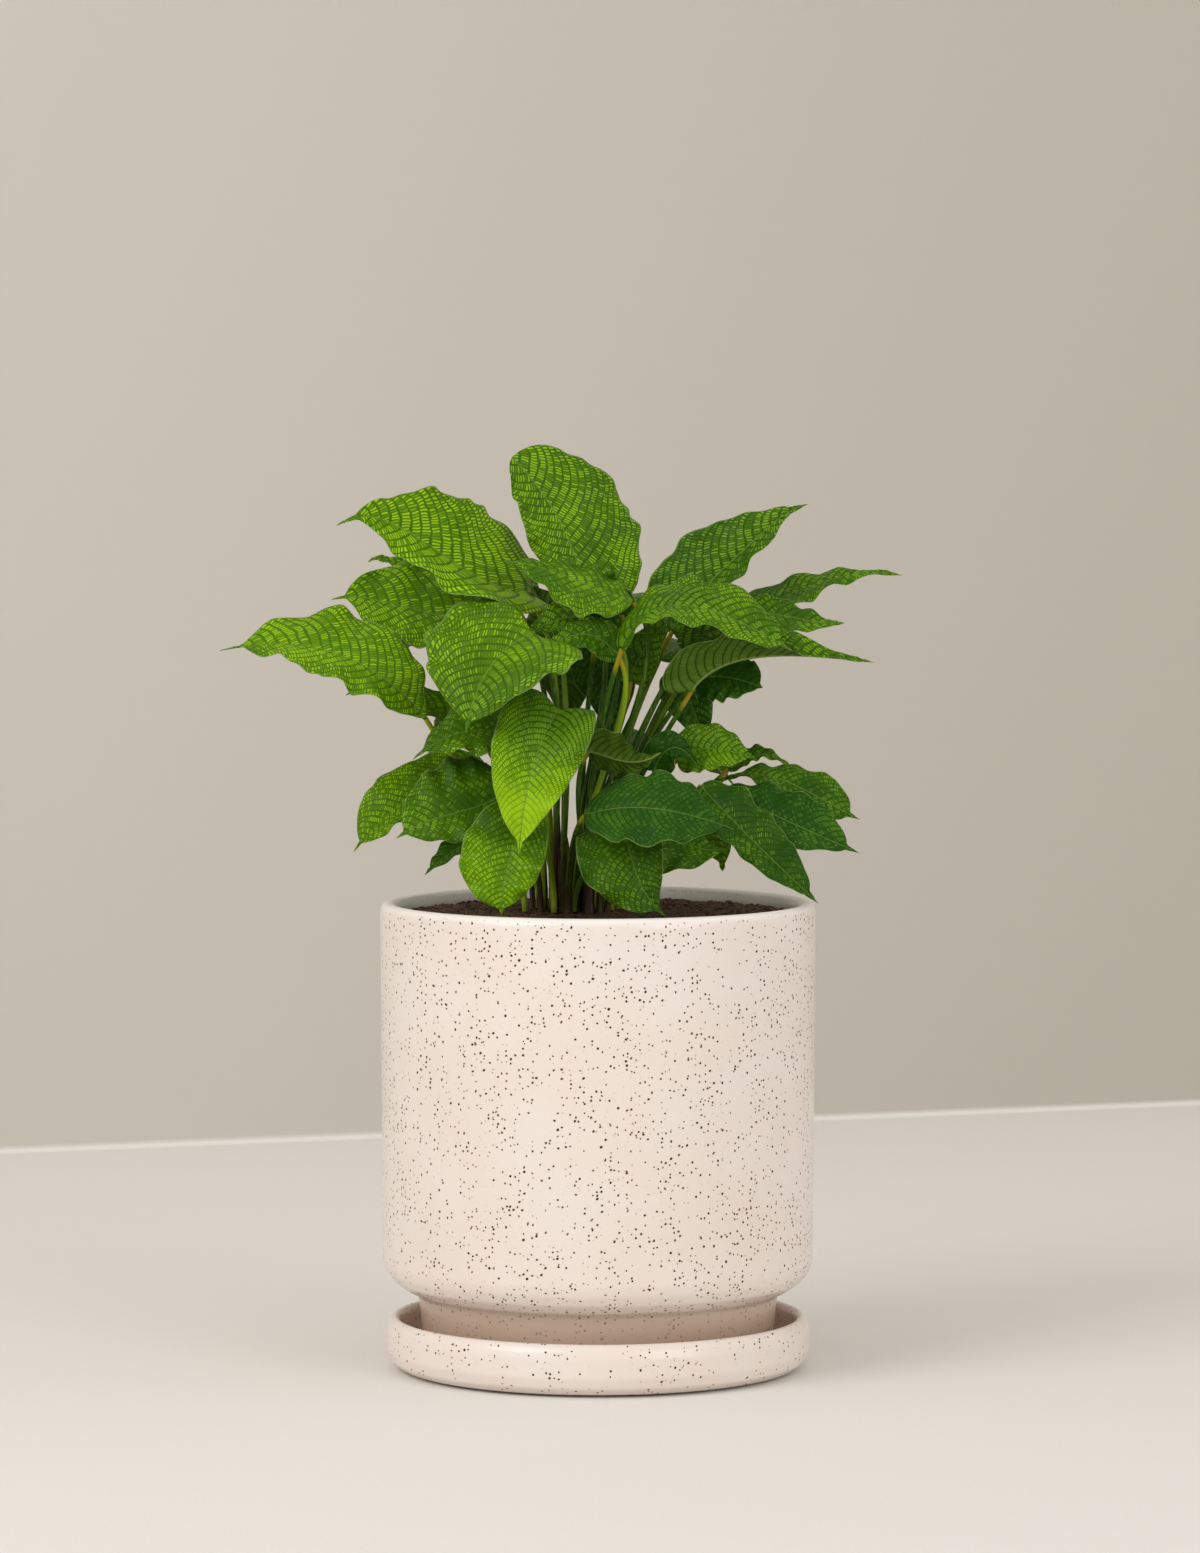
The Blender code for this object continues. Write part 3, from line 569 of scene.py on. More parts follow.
def dress(tree, colour, roughness, specular=0.5):
    """Gives the shader its colour and gloss."""
    shader = tree.nodes["Principled BSDF"]
    feed(tree, shader.inputs["Base Color"], colour)
    shader.inputs["Roughness"].default_value = roughness
    shader.inputs["Specular IOR Level"].default_value = specular
    return shader


def bumped(tree, height, distance, strength=1.0):
    made = add_node(tree, "ShaderNodeBump", {"Height": height, "Distance": distance, "Strength": strength})
    tree.links.new(made.outputs[0], tree.nodes["Principled BSDF"].inputs["Normal"])
    return made.outputs[0]


def let_light_through(tree, colour, share, normal):
    """Mixes in light that comes through from the far side."""
    shader = tree.nodes["Principled BSDF"].outputs[0]
    through = add_node(tree, "ShaderNodeBsdfTranslucent", {"Color": colour, "Normal": normal})
    mixed = add_node(tree, "ShaderNodeMixShader", {0: share, 1: shader, 2: through.outputs[0]})
    tree.links.new(mixed.outputs[0], tree.nodes["Material Output"].inputs["Surface"])


def vein_pattern(tree):
    """Masks of the vein network: side veins that bow towards the tip, and short dashes square across between
    them. s along the midrib and a away from it are counted in spacings of the side veins, and v runs from
    -1 to 1 across the blade."""
    s, a, v = read(tree, "vein_place")
    tone, share, seed = read(tree, "leaf_tone")
    side = a.sign()
    out = abs(a)
    wander = noise(tree, joined(tree, s, a, seed), 0.9, 1.0) - 0.5
    slope = v * v * (3 * VEIN_BOW) + VEIN_LEAN
    vein = s - out * (v * v * VEIN_BOW + VEIN_LEAN) + wander * VEIN_WANDER
    column = vein.floor()
    across = vein.fraction()
    reach = out * (v * v * RUN_BOW + RUN) + (across - 0.5) * slope / (slope * slope + 1.0).sqrt()
    shift = chance(tree, joined(tree, column, side, seed))
    line = (reach + wander * ROW_WANDER) / DASH_PITCH + shift * 7.0
    row = line.floor()
    luck = chance(tree, joined(tree, column * 3.0 + side, row, seed))
    trim = chance(tree, joined(tree, row, column + 41.0, seed + side))
    patch = noise(tree, joined(tree, s * 0.22, a * 0.3, seed), 1.0, 2.0)
    lit = (luck * 0.8 + patch - 0.4 - (1.0 - share)).between(-0.12, 0.16)
    thin = 1.0 - abs(line.fraction() - 0.5).between(0.20, 0.34)
    ends = (across - trim * 0.16).between(0.02, 0.08) * (1.0 - (across + luck * 0.14).between(0.92, 0.98))
    dash = (lit * 0.78 + 0.22) * thin * ends
    return dict(out=out, tone=tone, dash=dash, across=across, patch=patch, edge=abs(v))


def leaf_upper_material():
    """Fresh green with the bright network, a sunk midrib and a thin pale rim."""
    made, tree, _ = new_material("leaf_upper")
    vein = vein_pattern(tree)
    tone = vein["tone"] + (vein["patch"] - 0.5) * 0.35
    ground = blend(tree, tone.between(0.0, 0.7), DEEP, FRESH)
    ground = blend(tree, tone.between(0.7, 1.1), ground, LIME)
    # Painted light and shade: the dashes take their shaded copy on low-toned blades and their lit copy on
    # high-toned ones
    bright = blend(tree, tone.between(0.0, 0.6), DASH_IN_PAINTED_SHADE, DASH_IN_PAINTED_LIGHT)
    colour = blend(tree, vein["dash"] * 0.9, ground, bright)
    side_line = abs(vein["across"] - 0.5).between(0.445, 0.480)
    colour = blend(tree, side_line * 0.5, colour, blend(tree, 0.6, ground, DARK_VEIN))
    midrib = 1.0 - vein["out"].between(0.05, 0.12)
    colour = blend(tree, midrib * 0.6, colour, MIDRIB)
    colour = blend(tree, vein["edge"].between(0.965, 0.985) * 0.65, colour, PALE_RIM)
    dress(tree, colour, 0.40, 0.10)
    swell = (vein["across"] * math.pi).sin()
    normal = bumped(tree, swell * 0.35 + vein["dash"] * 0.2 - midrib * 0.5, 0.0005, 0.4)
    let_light_through(tree, blend(tree, 0.5, colour, LIGHT_THROUGH), 0.16, normal)
    return made


def leaf_under_material():
    """Duller green with dark side veins and a pale raised midrib."""
    made, tree, _ = new_material("leaf_under")
    vein = vein_pattern(tree)
    tone = vein["tone"] + (vein["patch"] - 0.5) * 0.3
    colour = blend(tree, vein["dash"] * 0.45, blend(tree, tone, UNDER_DEEP, UNDER_FRESH), UNDER_DASH)
    side_line = abs(vein["across"] - 0.5).between(0.40, 0.455)
    colour = blend(tree, side_line * 0.75, colour, UNDER_VEIN)
    midrib = 1.0 - vein["out"].between(0.10, 0.22)
    colour = blend(tree, midrib * 0.8, colour, UNDER_MIDRIB)
    colour = blend(tree, vein["edge"].between(0.96, 0.985) * 0.7, colour, PALE_RIM)
    dress(tree, colour, 0.5, 0.12)
    normal = bumped(tree, side_line * 0.8 + midrib - vein["dash"] * 0.2, 0.0005, 0.6)
    let_light_through(tree, blend(tree, 0.5, colour, UNDER_THROUGH), 0.25, normal)
    return made


def stalk_material():
    """Dark to bright green by chance, with a brown sheath low on some stalks and an ochre knuckle on top."""
    made, tree, place = new_material("stalk_skin")
    along, _, luck = read(tree, "stalk_place")
    streak = noise(tree, place * joined(tree, 1.0, 1.0, 0.06), 900.0, 3.0)
    patch = noise(tree, place, 60.0, 2.0)
    colour = blend(tree, luck.between(0.45, 0.95), STALK_DARK, STALK_BRIGHT)
    colour = blend(tree, streak.between(0.45, 0.75) * 0.4, colour, STALK_STREAK)
    base = (1.0 - along.between(0.05, 0.30)) * luck.between(0.6, 0.75)
    colour = blend(tree, base * (patch * 0.5 + 0.5), colour, STALK_BASE)
    sheath = (1.0 - (along + patch * 0.2).between(0.28, 0.42)) * (1.0 - luck.between(0.52, 0.58))
    colour = blend(tree, sheath * 0.9, colour, blend(tree, streak, SHEATH_DARK, SHEATH_BROWN))
    colour = blend(tree, along.between(0.86, 0.92) * 0.75, colour, KNUCKLE_OCHRE)
    colour = blend(tree, (1.0 - along.between(0.0, 0.06)) * 0.6, colour, FOOT_BROWN)
    dress(tree, colour, 0.45, 0.15)
    bumped(tree, streak, 0.0003, 0.5)
    return made


def old_stem_material():
    made, tree, place = new_material("old_stem_husk")
    streak = noise(tree, place * joined(tree, 1.0, 1.0, 0.12), 700.0, 4.0)
    dress(tree, blend(tree, streak.between(0.3, 0.7), HUSK_DARK, HUSK_BROWN), 0.75)
    bumped(tree, streak, 0.0006, 0.9)
    return made


def soil_material():
    made, tree, place = new_material("potting_soil")
    coarse = noise(tree, place, 260.0, 5.0, 0.65)
    fibre = noise(tree, place * joined(tree, 1.0, 0.25, 1.0), 900.0, 3.0)
    patch = noise(tree, place, 70.0, 2.0)
    colour = blend(tree, coarse.between(0.3, 0.72), PEAT_DARK, PEAT_BROWN)
    colour = blend(tree, fibre.between(0.60, 0.72) * 0.6, colour, FIBRE)
    colour = blend(tree, patch.between(0.5, 0.7) * 0.35, colour, SOIL_MOSS)
    dress(tree, colour, 0.92)
    bumped(tree, coarse + fibre * 0.4, 0.0015)
    return made


def glaze_material(name, density):
    """A satin blush glaze with iron specks. They gather in drifts and thin out towards the rim. The glaze is
    nearly white on the rim. Its inner wall is lifted towards white as painted light, and the crease between
    the pot and its foot is darkened tan as painted shade."""
    made, tree, place = new_material(name)
    x, y, height = place.parts()
    radius = (x * x + y * y).sqrt()
    drift = noise(tree, place, 55.0, 2.0, 0.6) - 0.5
    wobble = noise(tree, place, 900.0, 2.0) - 0.5
    near, (luck, warmth, size) = cells(tree, place + joined(tree, wobble, -wobble, wobble) * 0.0009, 520.0)
    kept = (luck + drift * 1.5).between(1.0 - density, 1.03 - density)
    girth = size * 0.14
    speck = (1.0 - near.between(girth + 0.15, girth + 0.22)) * kept
    halo = (1.0 - near.between(girth + 0.20, girth + 0.36)) * kept
    grain, (grain_luck, _, _) = cells(tree, place, 900.0)
    dust = (1.0 - grain.between(0.10, 0.24)) * (grain_luck + drift * 0.8).between(0.88, 0.93)
    rim = height.between(*RIM_HEIGHTS)
    # Painted light: the inner wall above the soil, lifted towards white against the shade of the leaves
    painted_light_inner = (1.0 - radius.between(*PAINTED_LIGHT_INNER_RADII)) * height.between(*PAINTED_LIGHT_INNER_HEIGHTS)
    # Painted shade: the crease between the pot and its foot, darkened where shade falls
    painted_shade_crease = (1.0 - radius.between(*PAINTED_SHADE_RADII)) * (1.0 - height.between(*PAINTED_SHADE_TOP_HEIGHTS))
    cloud = (*(part * share for part, share in zip(BLUSH, BLUSH_CLOUD)), 1)

    colour = blend(tree, noise(tree, place, 26.0, 3.0).between(0.3, 0.7), BLUSH, cloud)
    colour = blend(tree, dust * 0.55 * (1.0 - rim), colour, SPECK_DUST)
    colour = blend(tree, halo * 0.22 * (1.0 - rim), colour, SPECK_HALO)
    iron = blend(tree, warmth.between(0.5, 0.95), IRON_BLACK, IRON_RUST)
    colour = blend(tree, speck * (1.0 - rim * 0.9), colour, iron)
    # The rim's own whiter glaze, and painted light on the inner wall
    colour = blend(tree, (rim * 0.7).least(painted_light_inner), colour, WHITE_GLAZE_AND_PAINTED_LIGHT)
    # Painted shade: tan darkening in the crease over the foot
    colour = blend(tree, painted_shade_crease * height.between(*PAINTED_SHADE_FOOT_HEIGHTS) * 0.75, colour, TAN_PAINTED_SHADE)
    dress(tree, colour, 0.24).inputs["IOR"].default_value = 1.5
    bumped(tree, noise(tree, place, 120.0, 2.0) * 0.3 - speck * 0.4, 0.0004, 0.35)
    return made


# ---------------------------------------------------------------- growing pieces from node trees


def new_tree(name, vectors, numbers=(), counts=()):
    """A geometry node tree with named inputs, and its input fields by name."""
    tree = bpy.data.node_groups.new(name, "GeometryNodeTree")
    tree.interface.new_socket("Geometry", in_out="OUTPUT", socket_type="NodeSocketGeometry")
    for kind, labels in (("Vector", vectors), ("Float", numbers), ("Int", counts)):
        for label in labels:
            tree.interface.new_socket(label, in_out="INPUT", socket_type="NodeSocket" + kind)
    source = tree.nodes.new("NodeGroupInput")
    return tree, {label: Field(tree, source.outputs[label]) for label in (*vectors, *numbers, *counts)}


def close_tree(tree, *geometries):
    """Joins the geometries, shades them smooth and hands them out as one real mesh."""
    whole = add_node(tree, "GeometryNodeJoinGeometry")
    for geometry in geometries:
        tree.links.new(geometry, whole.inputs[0])
    smooth = add_node(tree, "GeometryNodeSetShadeSmooth", {"Geometry": whole.outputs[0]})
    realised = add_node(tree, "GeometryNodeRealizeInstances", {"Geometry": smooth.outputs[0]})
    tree.links.new(realised.outputs[0], tree.nodes.new("NodeGroupOutput").inputs[0])


def coated(tree, geometry, material, selection=True):
    inputs = {"Geometry": geometry, "Selection": selection, "Material": material}
    return add_node(tree, "GeometryNodeSetMaterial", inputs).outputs[0]


def stored(tree, geometry, name, value):
    inputs = {"Geometry": geometry, "Name": name, "Value": value}
    made = add_node(tree, "GeometryNodeStoreNamedAttribute", inputs, data_type="FLOAT_VECTOR", domain="POINT")
    return made.outputs[0]


def welded_points(tree, geometry, distance):
    inputs = {"Geometry": geometry, "Distance": distance}
    return add_node(tree, "GeometryNodeMergeByDistance", inputs).outputs[0]


def position(tree):
    return Field(tree, add_node(tree, "GeometryNodeInputPosition").outputs[0])


def tube(tree, line, girth, sides, material):
    """A tube with closed ends along a line."""
    sized = add_node(tree, "GeometryNodeSetCurveRadius", {"Curve": line, "Radius": girth})
    ring = add_node(tree, "GeometryNodeCurvePrimitiveCircle", {"Resolution": sides, "Radius": 1.0},
                    mode="RADIUS")
    made = add_node(tree, "GeometryNodeCurveToMesh", {
        "Curve": sized.outputs[0], "Profile Curve": ring.outputs[0], "Scale": girth, "Fill Caps": True})
    return coated(tree, made.outputs[0], material)


def grown(name, tree, values):
    """Runs a tree once and keeps the result as a plain mesh."""
    made = bpy.data.objects.new(name, bpy.data.meshes.new(name))
    bpy.context.scene.collection.objects.link(made)
    modifier = made.modifiers.new("grow", "NODES")
    modifier.node_group = tree
    for item in tree.interface.items_tree:
        if item.in_out == "INPUT" and item.name in values:
            value = values[item.name]
            modifier[item.identifier] = tuple(value) if isinstance(value, Vector) else value
    graph = bpy.context.evaluated_depsgraph_get()
    result = bpy.data.meshes.new_from_object(made.evaluated_get(graph), depsgraph=graph)
    made.modifiers.remove(modifier)
    made.data = result
    result.name = name
    return made


# ---------------------------------------------------------------- blades and stalks, in metres

ACROSS_STEPS = 96
ALONG_STEPS = 92
SKIN_HALF = 0.00022
SCALLOP_LENGTH = 0.0125
SCALLOP_SHARE = 0.42
FRILL_HEIGHT = 0.0110
SAG_HEIGHT = 0.0030
QUILT_HEIGHT = 0.00035
RIB_HALF_WIDTH = 0.0009
RIB_BELOW = 0.0008
RIB_SUNK = 0.0002
STALK_SIDES = 14
STALK_LENGTHS = 40
STALK_GIRTH = 0.00092
SHEATH_GIRTH = 0.00045
SHEATH_END = 0.45
KNUCKLE_GIRTH = 0.00035
BLADE_VECTORS = ("Knuckle", "Third", "Two Thirds", "Tip", "Hook", "Face at Knuckle", "Face at Tip",
                 "Stalk Foot", "Stalk Rise", "Stalk Reach")
BLADE_NUMBERS = ("Width Left", "Width Right", "Lift Left", "Lift Right", "Curl Left", "Curl Right",
                 "Wave Height", "Wave Phase", "Base Power", "Tip Power", "Lobe", "Scallop", "Frill", "Tail",
                 "Length", "Vein Spacing", "Tone", "Dash Share", "Tip Tone", "Seed")


def midrib_field(given, u):
    """The cubic through the four points of the midrib, with the last fifth drawn towards the hook."""
    a = (u - 1 / 3) * (u - 2 / 3) * (u - 1.0) * -4.5
    b = u * (u - 2 / 3) * (u - 1.0) * 13.5
    c = u * (u - 1 / 3) * (u - 1.0) * -13.5
    d = u * (u - 1 / 3) * (u - 2 / 3) * 4.5
    bend = ((u - 0.8) / 0.2).least(0.0) ** 2.0
    return (given["Knuckle"] * a + given["Third"] * b + given["Two Thirds"] * c + given["Tip"] * d
            + given["Hook"] * bend)


def half_width(tree, given, u, width, margin):
    """Half the blade's width at a share u of its length: a leaf outline with scallops, then a drip tip."""
    base_power, tip_power = given["Base Power"], given["Tip Power"]
    peak = base_power / (base_power + tip_power)
    reach = (u / BLADE_END).most(1.0)
    share = (reach / peak) ** base_power * ((1.0 - reach) / (1.0 - peak)).least(0.0) ** tip_power
    scallop = ((noise(tree, margin, 1.0, 1.0) - 0.5) * SCALLOP_SHARE * (u * math.pi).sin()) * given["Scallop"]
    short = 1.0 - (1.0 - given["Tail"]) * u.between(0.5, 0.9)
    tail = ((1.0 - u) / (1 - BLADE_END)).most(1.0) * (TAIL_HALF * MM) * short
    return (width * share * (1.0 + scallop)).least(tail)


def blade(tree, given, upper, under):
    """The blade's closed skin. A flat grid is wrapped round the midrib: u runs from the knuckle to the tip,
    and v across from the left margin, -1, to the right, 1, over the top and back below."""
    x, y, _ = position(tree).parts()
    u = y + 0.5
    turn = x + 0.5
    v = 1.0 - abs(turn * 4.0 - 2.0)
    on_top = 1.0 - turn.more_than(0.5) * 2.0
    right = v.more_than(0.0)
    spread = abs(v)
    arch = (u * math.pi).sin()
    joint = u.between(0.004, 0.055)

    place = midrib_field(given, u.most(blend(tree, given["Tail"], BLADE_END, 1.0)))
    tangent = (midrib_field(given, u + 0.01) - midrib_field(given, u - 0.01)).unit()
    side = tangent.cross(blend(tree, u, given["Face at Knuckle"], given["Face at Tip"])).unit()
    facing = side.cross(tangent)

    width, lift, curl = (blend(tree, right, given[label + " Left"], given[label + " Right"])
                         for label in ("Width", "Lift", "Curl"))
    margin = joined(tree, u * given["Length"] / SCALLOP_LENGTH, v * 0.9, given["Seed"] + 20.0)
    across = half_width(tree, given, u, width, margin) * spread
    angle = lift + curl * 0.5 * spread
    swing = (u * WAVE_COUNT + given["Wave Phase"] + right * 0.37) * (2 * math.pi)
    ripple = given["Wave Height"] * spread * spread * swing.sin() * arch
    frill = (noise(tree, margin + 9.0, 1.0, 1.0) - 0.5) * spread ** 3.0 * FRILL_HEIGHT * arch * given["Frill"]
    broad = joined(tree, u * 9.0, v * 1.5, given["Seed"]) + 7.0
    sag = (noise(tree, broad, 0.6, 1.0) - 0.5) * spread * SAG_HEIGHT * arch
    back = given["Lobe"] * across * (1.0 - u).least(0.0) ** 5.0

    vein_s = u * given["Length"] / given["Vein Spacing"]
    vein_a = v.sign() * across / given["Vein Spacing"]
    lean = vein_s - abs(vein_a) * (0.78 + v * v * 0.42)
    inner = spread.between(0.0, 0.15) * (1.0 - spread.between(0.9, 1.0))
    quilt = (lean.fraction() * math.pi).sin() * QUILT_HEIGHT * inner

    rib = (-((across / RIB_HALF_WIDTH) ** 2.0)).exp() * (1.0 - u).least(0.0) ** 0.6
    rib_half = rib * ((1.0 - on_top) * 0.5 * RIB_BELOW - on_top.least(0.0) * RIB_SUNK)
    round_half = (1.0 - v * v).least(0.0).sqrt() * (TAIL_HALF * MM)
    skin = blend(tree, joint, round_half, (1.0 - spread ** 8.0) * (rib_half + SKIN_HALF))
    skin = skin * (1.0 - u.between(0.97, 1.0))
    drop = facing * ((across * angle.sin() + ripple + frill + sag + quilt) * joint + skin * on_top)
    spot = side * (v.sign() * across * blend(tree, joint, 1.0, angle.cos())) + drop - tangent * back

    # The patterns' places are stored before the points move, because they are worked out from the flat grid.
    tone = given["Tone"] + given["Tip Tone"] * u.between(0.25, 0.75)
    skinned = add_node(tree, "GeometryNodeMeshGrid", {
        "Size X": 1.0, "Size Y": 1.0, "Vertices X": ACROSS_STEPS + 1, "Vertices Y": ALONG_STEPS + 1})
    skinned = stored(tree, skinned.outputs[0], "vein_place", joined(tree, vein_s, vein_a, v))
    skinned = stored(tree, skinned, "leaf_tone", joined(tree, tone, given["Dash Share"], given["Seed"]))
    skinned = stored(tree, skinned, "skin_side", joined(tree, on_top, 0.0, 0.0))
    moved = add_node(tree, "GeometryNodeSetPosition", {"Geometry": skinned,
                                                       "Position": place + spot * u.more_than(0.002)})
    welded = welded_points(tree, moved.outputs[0], 0.000002)
    noted = add_node(tree, "GeometryNodeInputNamedAttribute", {"Name": "skin_side"}, data_type="FLOAT_VECTOR")
    faces = add_node(tree, "GeometryNodeFieldOnDomain", domain="FACE", data_type="FLOAT")
    feed(tree, faces.inputs[0], Field(tree, noted.outputs["Attribute"]).parts()[0])
    upper_faces = Field(tree, faces.outputs[0]).more_than(0.0)
    return coated(tree, coated(tree, welded, under), upper, upper_faces)


def stalk(tree, given, skin):
    """The stalk, stout at its foot where the sheath wraps it, and thick again at the knuckle."""
    line = add_node(tree, "GeometryNodeCurvePrimitiveBezierSegment", {
        "Resolution": STALK_LENGTHS, "Start": given["Stalk Foot"], "Start Handle": given["Stalk Rise"],
        "End Handle": given["Stalk Reach"], "End": given["Knuckle"]}, mode="POSITION")
    t = Field(tree, add_node(tree, "GeometryNodeSplineParameter").outputs["Factor"])
    sheath = (1.0 - t / SHEATH_END).least(0.0) ** 1.6 * SHEATH_GIRTH
    knuckle = t.between(0.82, 0.90) * (1.0 - t.between(0.97, 1.0, 0.0, 0.45)) * KNUCKLE_GIRTH
    luck = chance(tree, joined(tree, given["Seed"], 3.0, 0.0))
    noted = stored(tree, line.outputs[0], "stalk_place", joined(tree, t, 0.0, luck))
    return tube(tree, noted, STALK_GIRTH + sheath + knuckle, STALK_SIDES, skin)


def leaf_tree(upper, under, skin):
    tree, given = new_tree("calathea leaf", BLADE_VECTORS, BLADE_NUMBERS)
    close_tree(tree, blade(tree, given, upper, under), stalk(tree, given, skin))
    return tree


def leaf_values(item, curve, number):
    """The leaf tree's inputs for one leaf. Narrow blades have lower waves and frills."""
    mid = [at(*point) * MM for point in item["mid"]]
    tone, share, tip_tone, spacing = LOOKS.get(item["name"], PLAIN_LOOK)
    length = sum((b - a).length for a, b in zip(mid, mid[1:]))
    calm = min(1.0, sum(item["width"]) / NARROW_BLADE)
    values = dict(zip(BLADE_VECTORS, (*mid, Vector(item["hook"]) * MM, *map(Vector, item["faces"]),
                                      *(point * MM for point in curve[:3]))))
    for half, label in enumerate(("Left", "Right")):
        values["Width " + label] = item["width"][half] * MM
        values["Lift " + label] = math.radians(item["lift"][half])
        values["Curl " + label] = math.radians(item["curl"][half])
    values.update({
        "Wave Height": item["wave"][0] * MM * calm, "Wave Phase": float(item["wave"][1]),
        "Base Power": item["shape"][0], "Tip Power": item["shape"][1], "Lobe": float(item["lobe"]),
        "Scallop": 1.0, "Frill": calm, "Tail": 1.0, "Length": length,
        "Vein Spacing": spacing * MM, "Tone": tone, "Dash Share": share, "Tip Tone": tip_tone,
        "Seed": 1.0 + 3.7 * number})
    values.update(EDGES.get(item["name"], {}))
    return values


# ---------------------------------------------------------------- old stems and soil, in metres

STEM_SIDES = 12
STEM_LENGTHS = 30
SOIL_REACH = 0.0915
SOIL_TOP = 0.2103
SOIL_SLOPE = 0.18
LUMP_HEIGHT = 0.0045
GRIT_HEIGHT = 0.0016
LUMP_MOST = 0.0012
CRUMBS = 70000.0
CRUMB_SMALLEST = (0.00035, 0.00035, 0.00025)
CRUMB_LARGEST = (0.0019, 0.0012, 0.0009)
CRUMB_TURN = ((-0.5, -0.5, 0.0), (0.5, 0.5, 6.28))


def old_stem_tree(husk):
    """A knotty dry stem that tapers to a broken top."""
    tree, given = new_tree("old stem", ("Foot", "Top"), ("Foot Radius", "Top Radius", "Seed"))
    line = add_node(tree, "GeometryNodeCurvePrimitiveLine", {"Start": given["Foot"], "End": given["Top"]})
    fine = add_node(tree, "GeometryNodeResampleCurve", {"Curve": line.outputs[0], "Count": STEM_LENGTHS})
    t = Field(tree, add_node(tree, "GeometryNodeSplineParameter").outputs["Factor"])
    knots = noise(tree, joined(tree, t * 5.0, given["Seed"], 0.0), 1.0, 3.0) * 0.5 + 0.75
    broken = 1.0 - t.between(0.9, 1.0, 0.0, 0.5)
    girth = blend(tree, t, given["Foot Radius"], given["Top Radius"]) * knots * broken
    close_tree(tree, tube(tree, fine.outputs[0], girth, STEM_SIDES, husk))
    return tree


def soil_tree(earth):
    """A crumbly soil surface: a shallow lumpy disc strewn with crumbs of many sizes."""
    tree, given = new_tree("soil surface", (), ("Crumbs",), ("Seed",))
    sheet = add_node(tree, "GeometryNodeMeshGrid", {"Size X": 2.0, "Size Y": 1.0, "Vertices X": 240,
                                                    "Vertices Y": 70})
    x, y, _ = position(tree).parts()
    turn = x * math.pi
    radius = (y + 0.5) * SOIL_REACH
    flat = joined(tree, turn.cos() * radius, turn.sin() * radius, 0.0)
    lumps = (noise(tree, flat, 90.0, 3.0) - 0.5) * LUMP_HEIGHT
    lumps = lumps + (noise(tree, flat, 420.0, 2.0) - 0.5) * GRIT_HEIGHT
    level = SOIL_TOP - radius * radius * SOIL_SLOPE + lumps.most(LUMP_MOST)
    disc = add_node(tree, "GeometryNodeSetPosition", {"Geometry": sheet.outputs[0],
                                                      "Position": flat + joined(tree, 0.0, 0.0, level)})
    ground = welded_points(tree, disc.outputs[0], 0.00001)
    spots = add_node(tree, "GeometryNodeDistributePointsOnFaces", {
        "Mesh": ground, "Density": given["Crumbs"], "Seed": given["Seed"]})
    ball = add_node(tree, "GeometryNodeMeshIcoSphere", {"Radius": 1.0, "Subdivisions": 2})
    place = position(tree)
    crumb = add_node(tree, "GeometryNodeSetPosition", {
        "Geometry": ball.outputs[0], "Position": place * (noise(tree, place, 1.3, 1.0) * 0.9 + 0.55)})
    size = add_node(tree, "FunctionNodeRandomValue", {0: CRUMB_SMALLEST, 1: CRUMB_LARGEST, "Seed": 5},
                    data_type="FLOAT_VECTOR")
    spin = add_node(tree, "FunctionNodeRandomValue", {0: CRUMB_TURN[0], 1: CRUMB_TURN[1], "Seed": 9},
                    data_type="FLOAT_VECTOR")
    strewn = add_node(tree, "GeometryNodeInstanceOnPoints", {
        "Points": spots.outputs[0], "Instance": crumb.outputs[0], "Scale": size.outputs[0],
        "Rotation": spin.outputs[0]})
    crumbs = add_node(tree, "GeometryNodeRealizeInstances", {"Geometry": strewn.outputs[0]})
    close_tree(tree, coated(tree, ground, earth), coated(tree, crumbs.outputs[0], earth))
    return tree


# ---------------------------------------------------------------- pot and saucer, in millimetres

TURN_STEPS = 192
EASE_STEPS = (0, 0.25, 0.5, 0.75, 1)
SAUCER_EASE = 1.2
SAUCER_PROFILE = [
    (0, 6), (76, 6), (84.5, 6.6), (88.8, 9), (90.4, 14), (91, 21.5), (92, 23.6), (93.4, 24.3), (95, 23.6),
    (96.6, 21.2), (97.4, 17.5), (97.4, 9), (95.6, 4.2), (91.2, 1), (84, 0), (0, 0),
]
POT_EASE = 1.6
POT_PROFILE = [
    (7, 14), (68, 14), (73, 17), (75, 24), (75.5, 34), (80, 42), (88, 50), (91, 58), (92, 70),
    (92, 211), (92.8, 213.4), (94.8, 214.8), (97.2, 214.8), (99.3, 213.4), (100, 211),
    (98.9, 50), (97.6, 45.6), (94, 41), (88.6, 37.2), (83.4, 35.2), (82.4, 32), (80, 9),
    (78.4, 6.6), (76, 6.3), (62, 6.3), (60, 8.3), (7, 8.3),
]


def eased(profile, reach, closed):
    """The profile with each corner turned over the given reach, or less where its sides are short."""
    points = [Vector(point) for point in profile]
    result = []
    for i, corner in enumerate(points):
        if not closed and i in (0, len(points) - 1):
            result.append(corner)
            continue
        before, after = points[i - 1], points[(i + 1) % len(points)]
        enter = corner + (before - corner) * min(0.5, reach / (before - corner).length)
        leave = corner + (after - corner) * min(0.5, reach / (after - corner).length)
        for t in EASE_STEPS:
            spot = enter.lerp(corner, t).lerp(corner.lerp(leave, t), t)
            if not result or (spot - result[-1]).length > 1e-4:
                result.append(spot)
    if closed and (result[0] - result[-1]).length < 1e-4:
        result.pop()
    return result


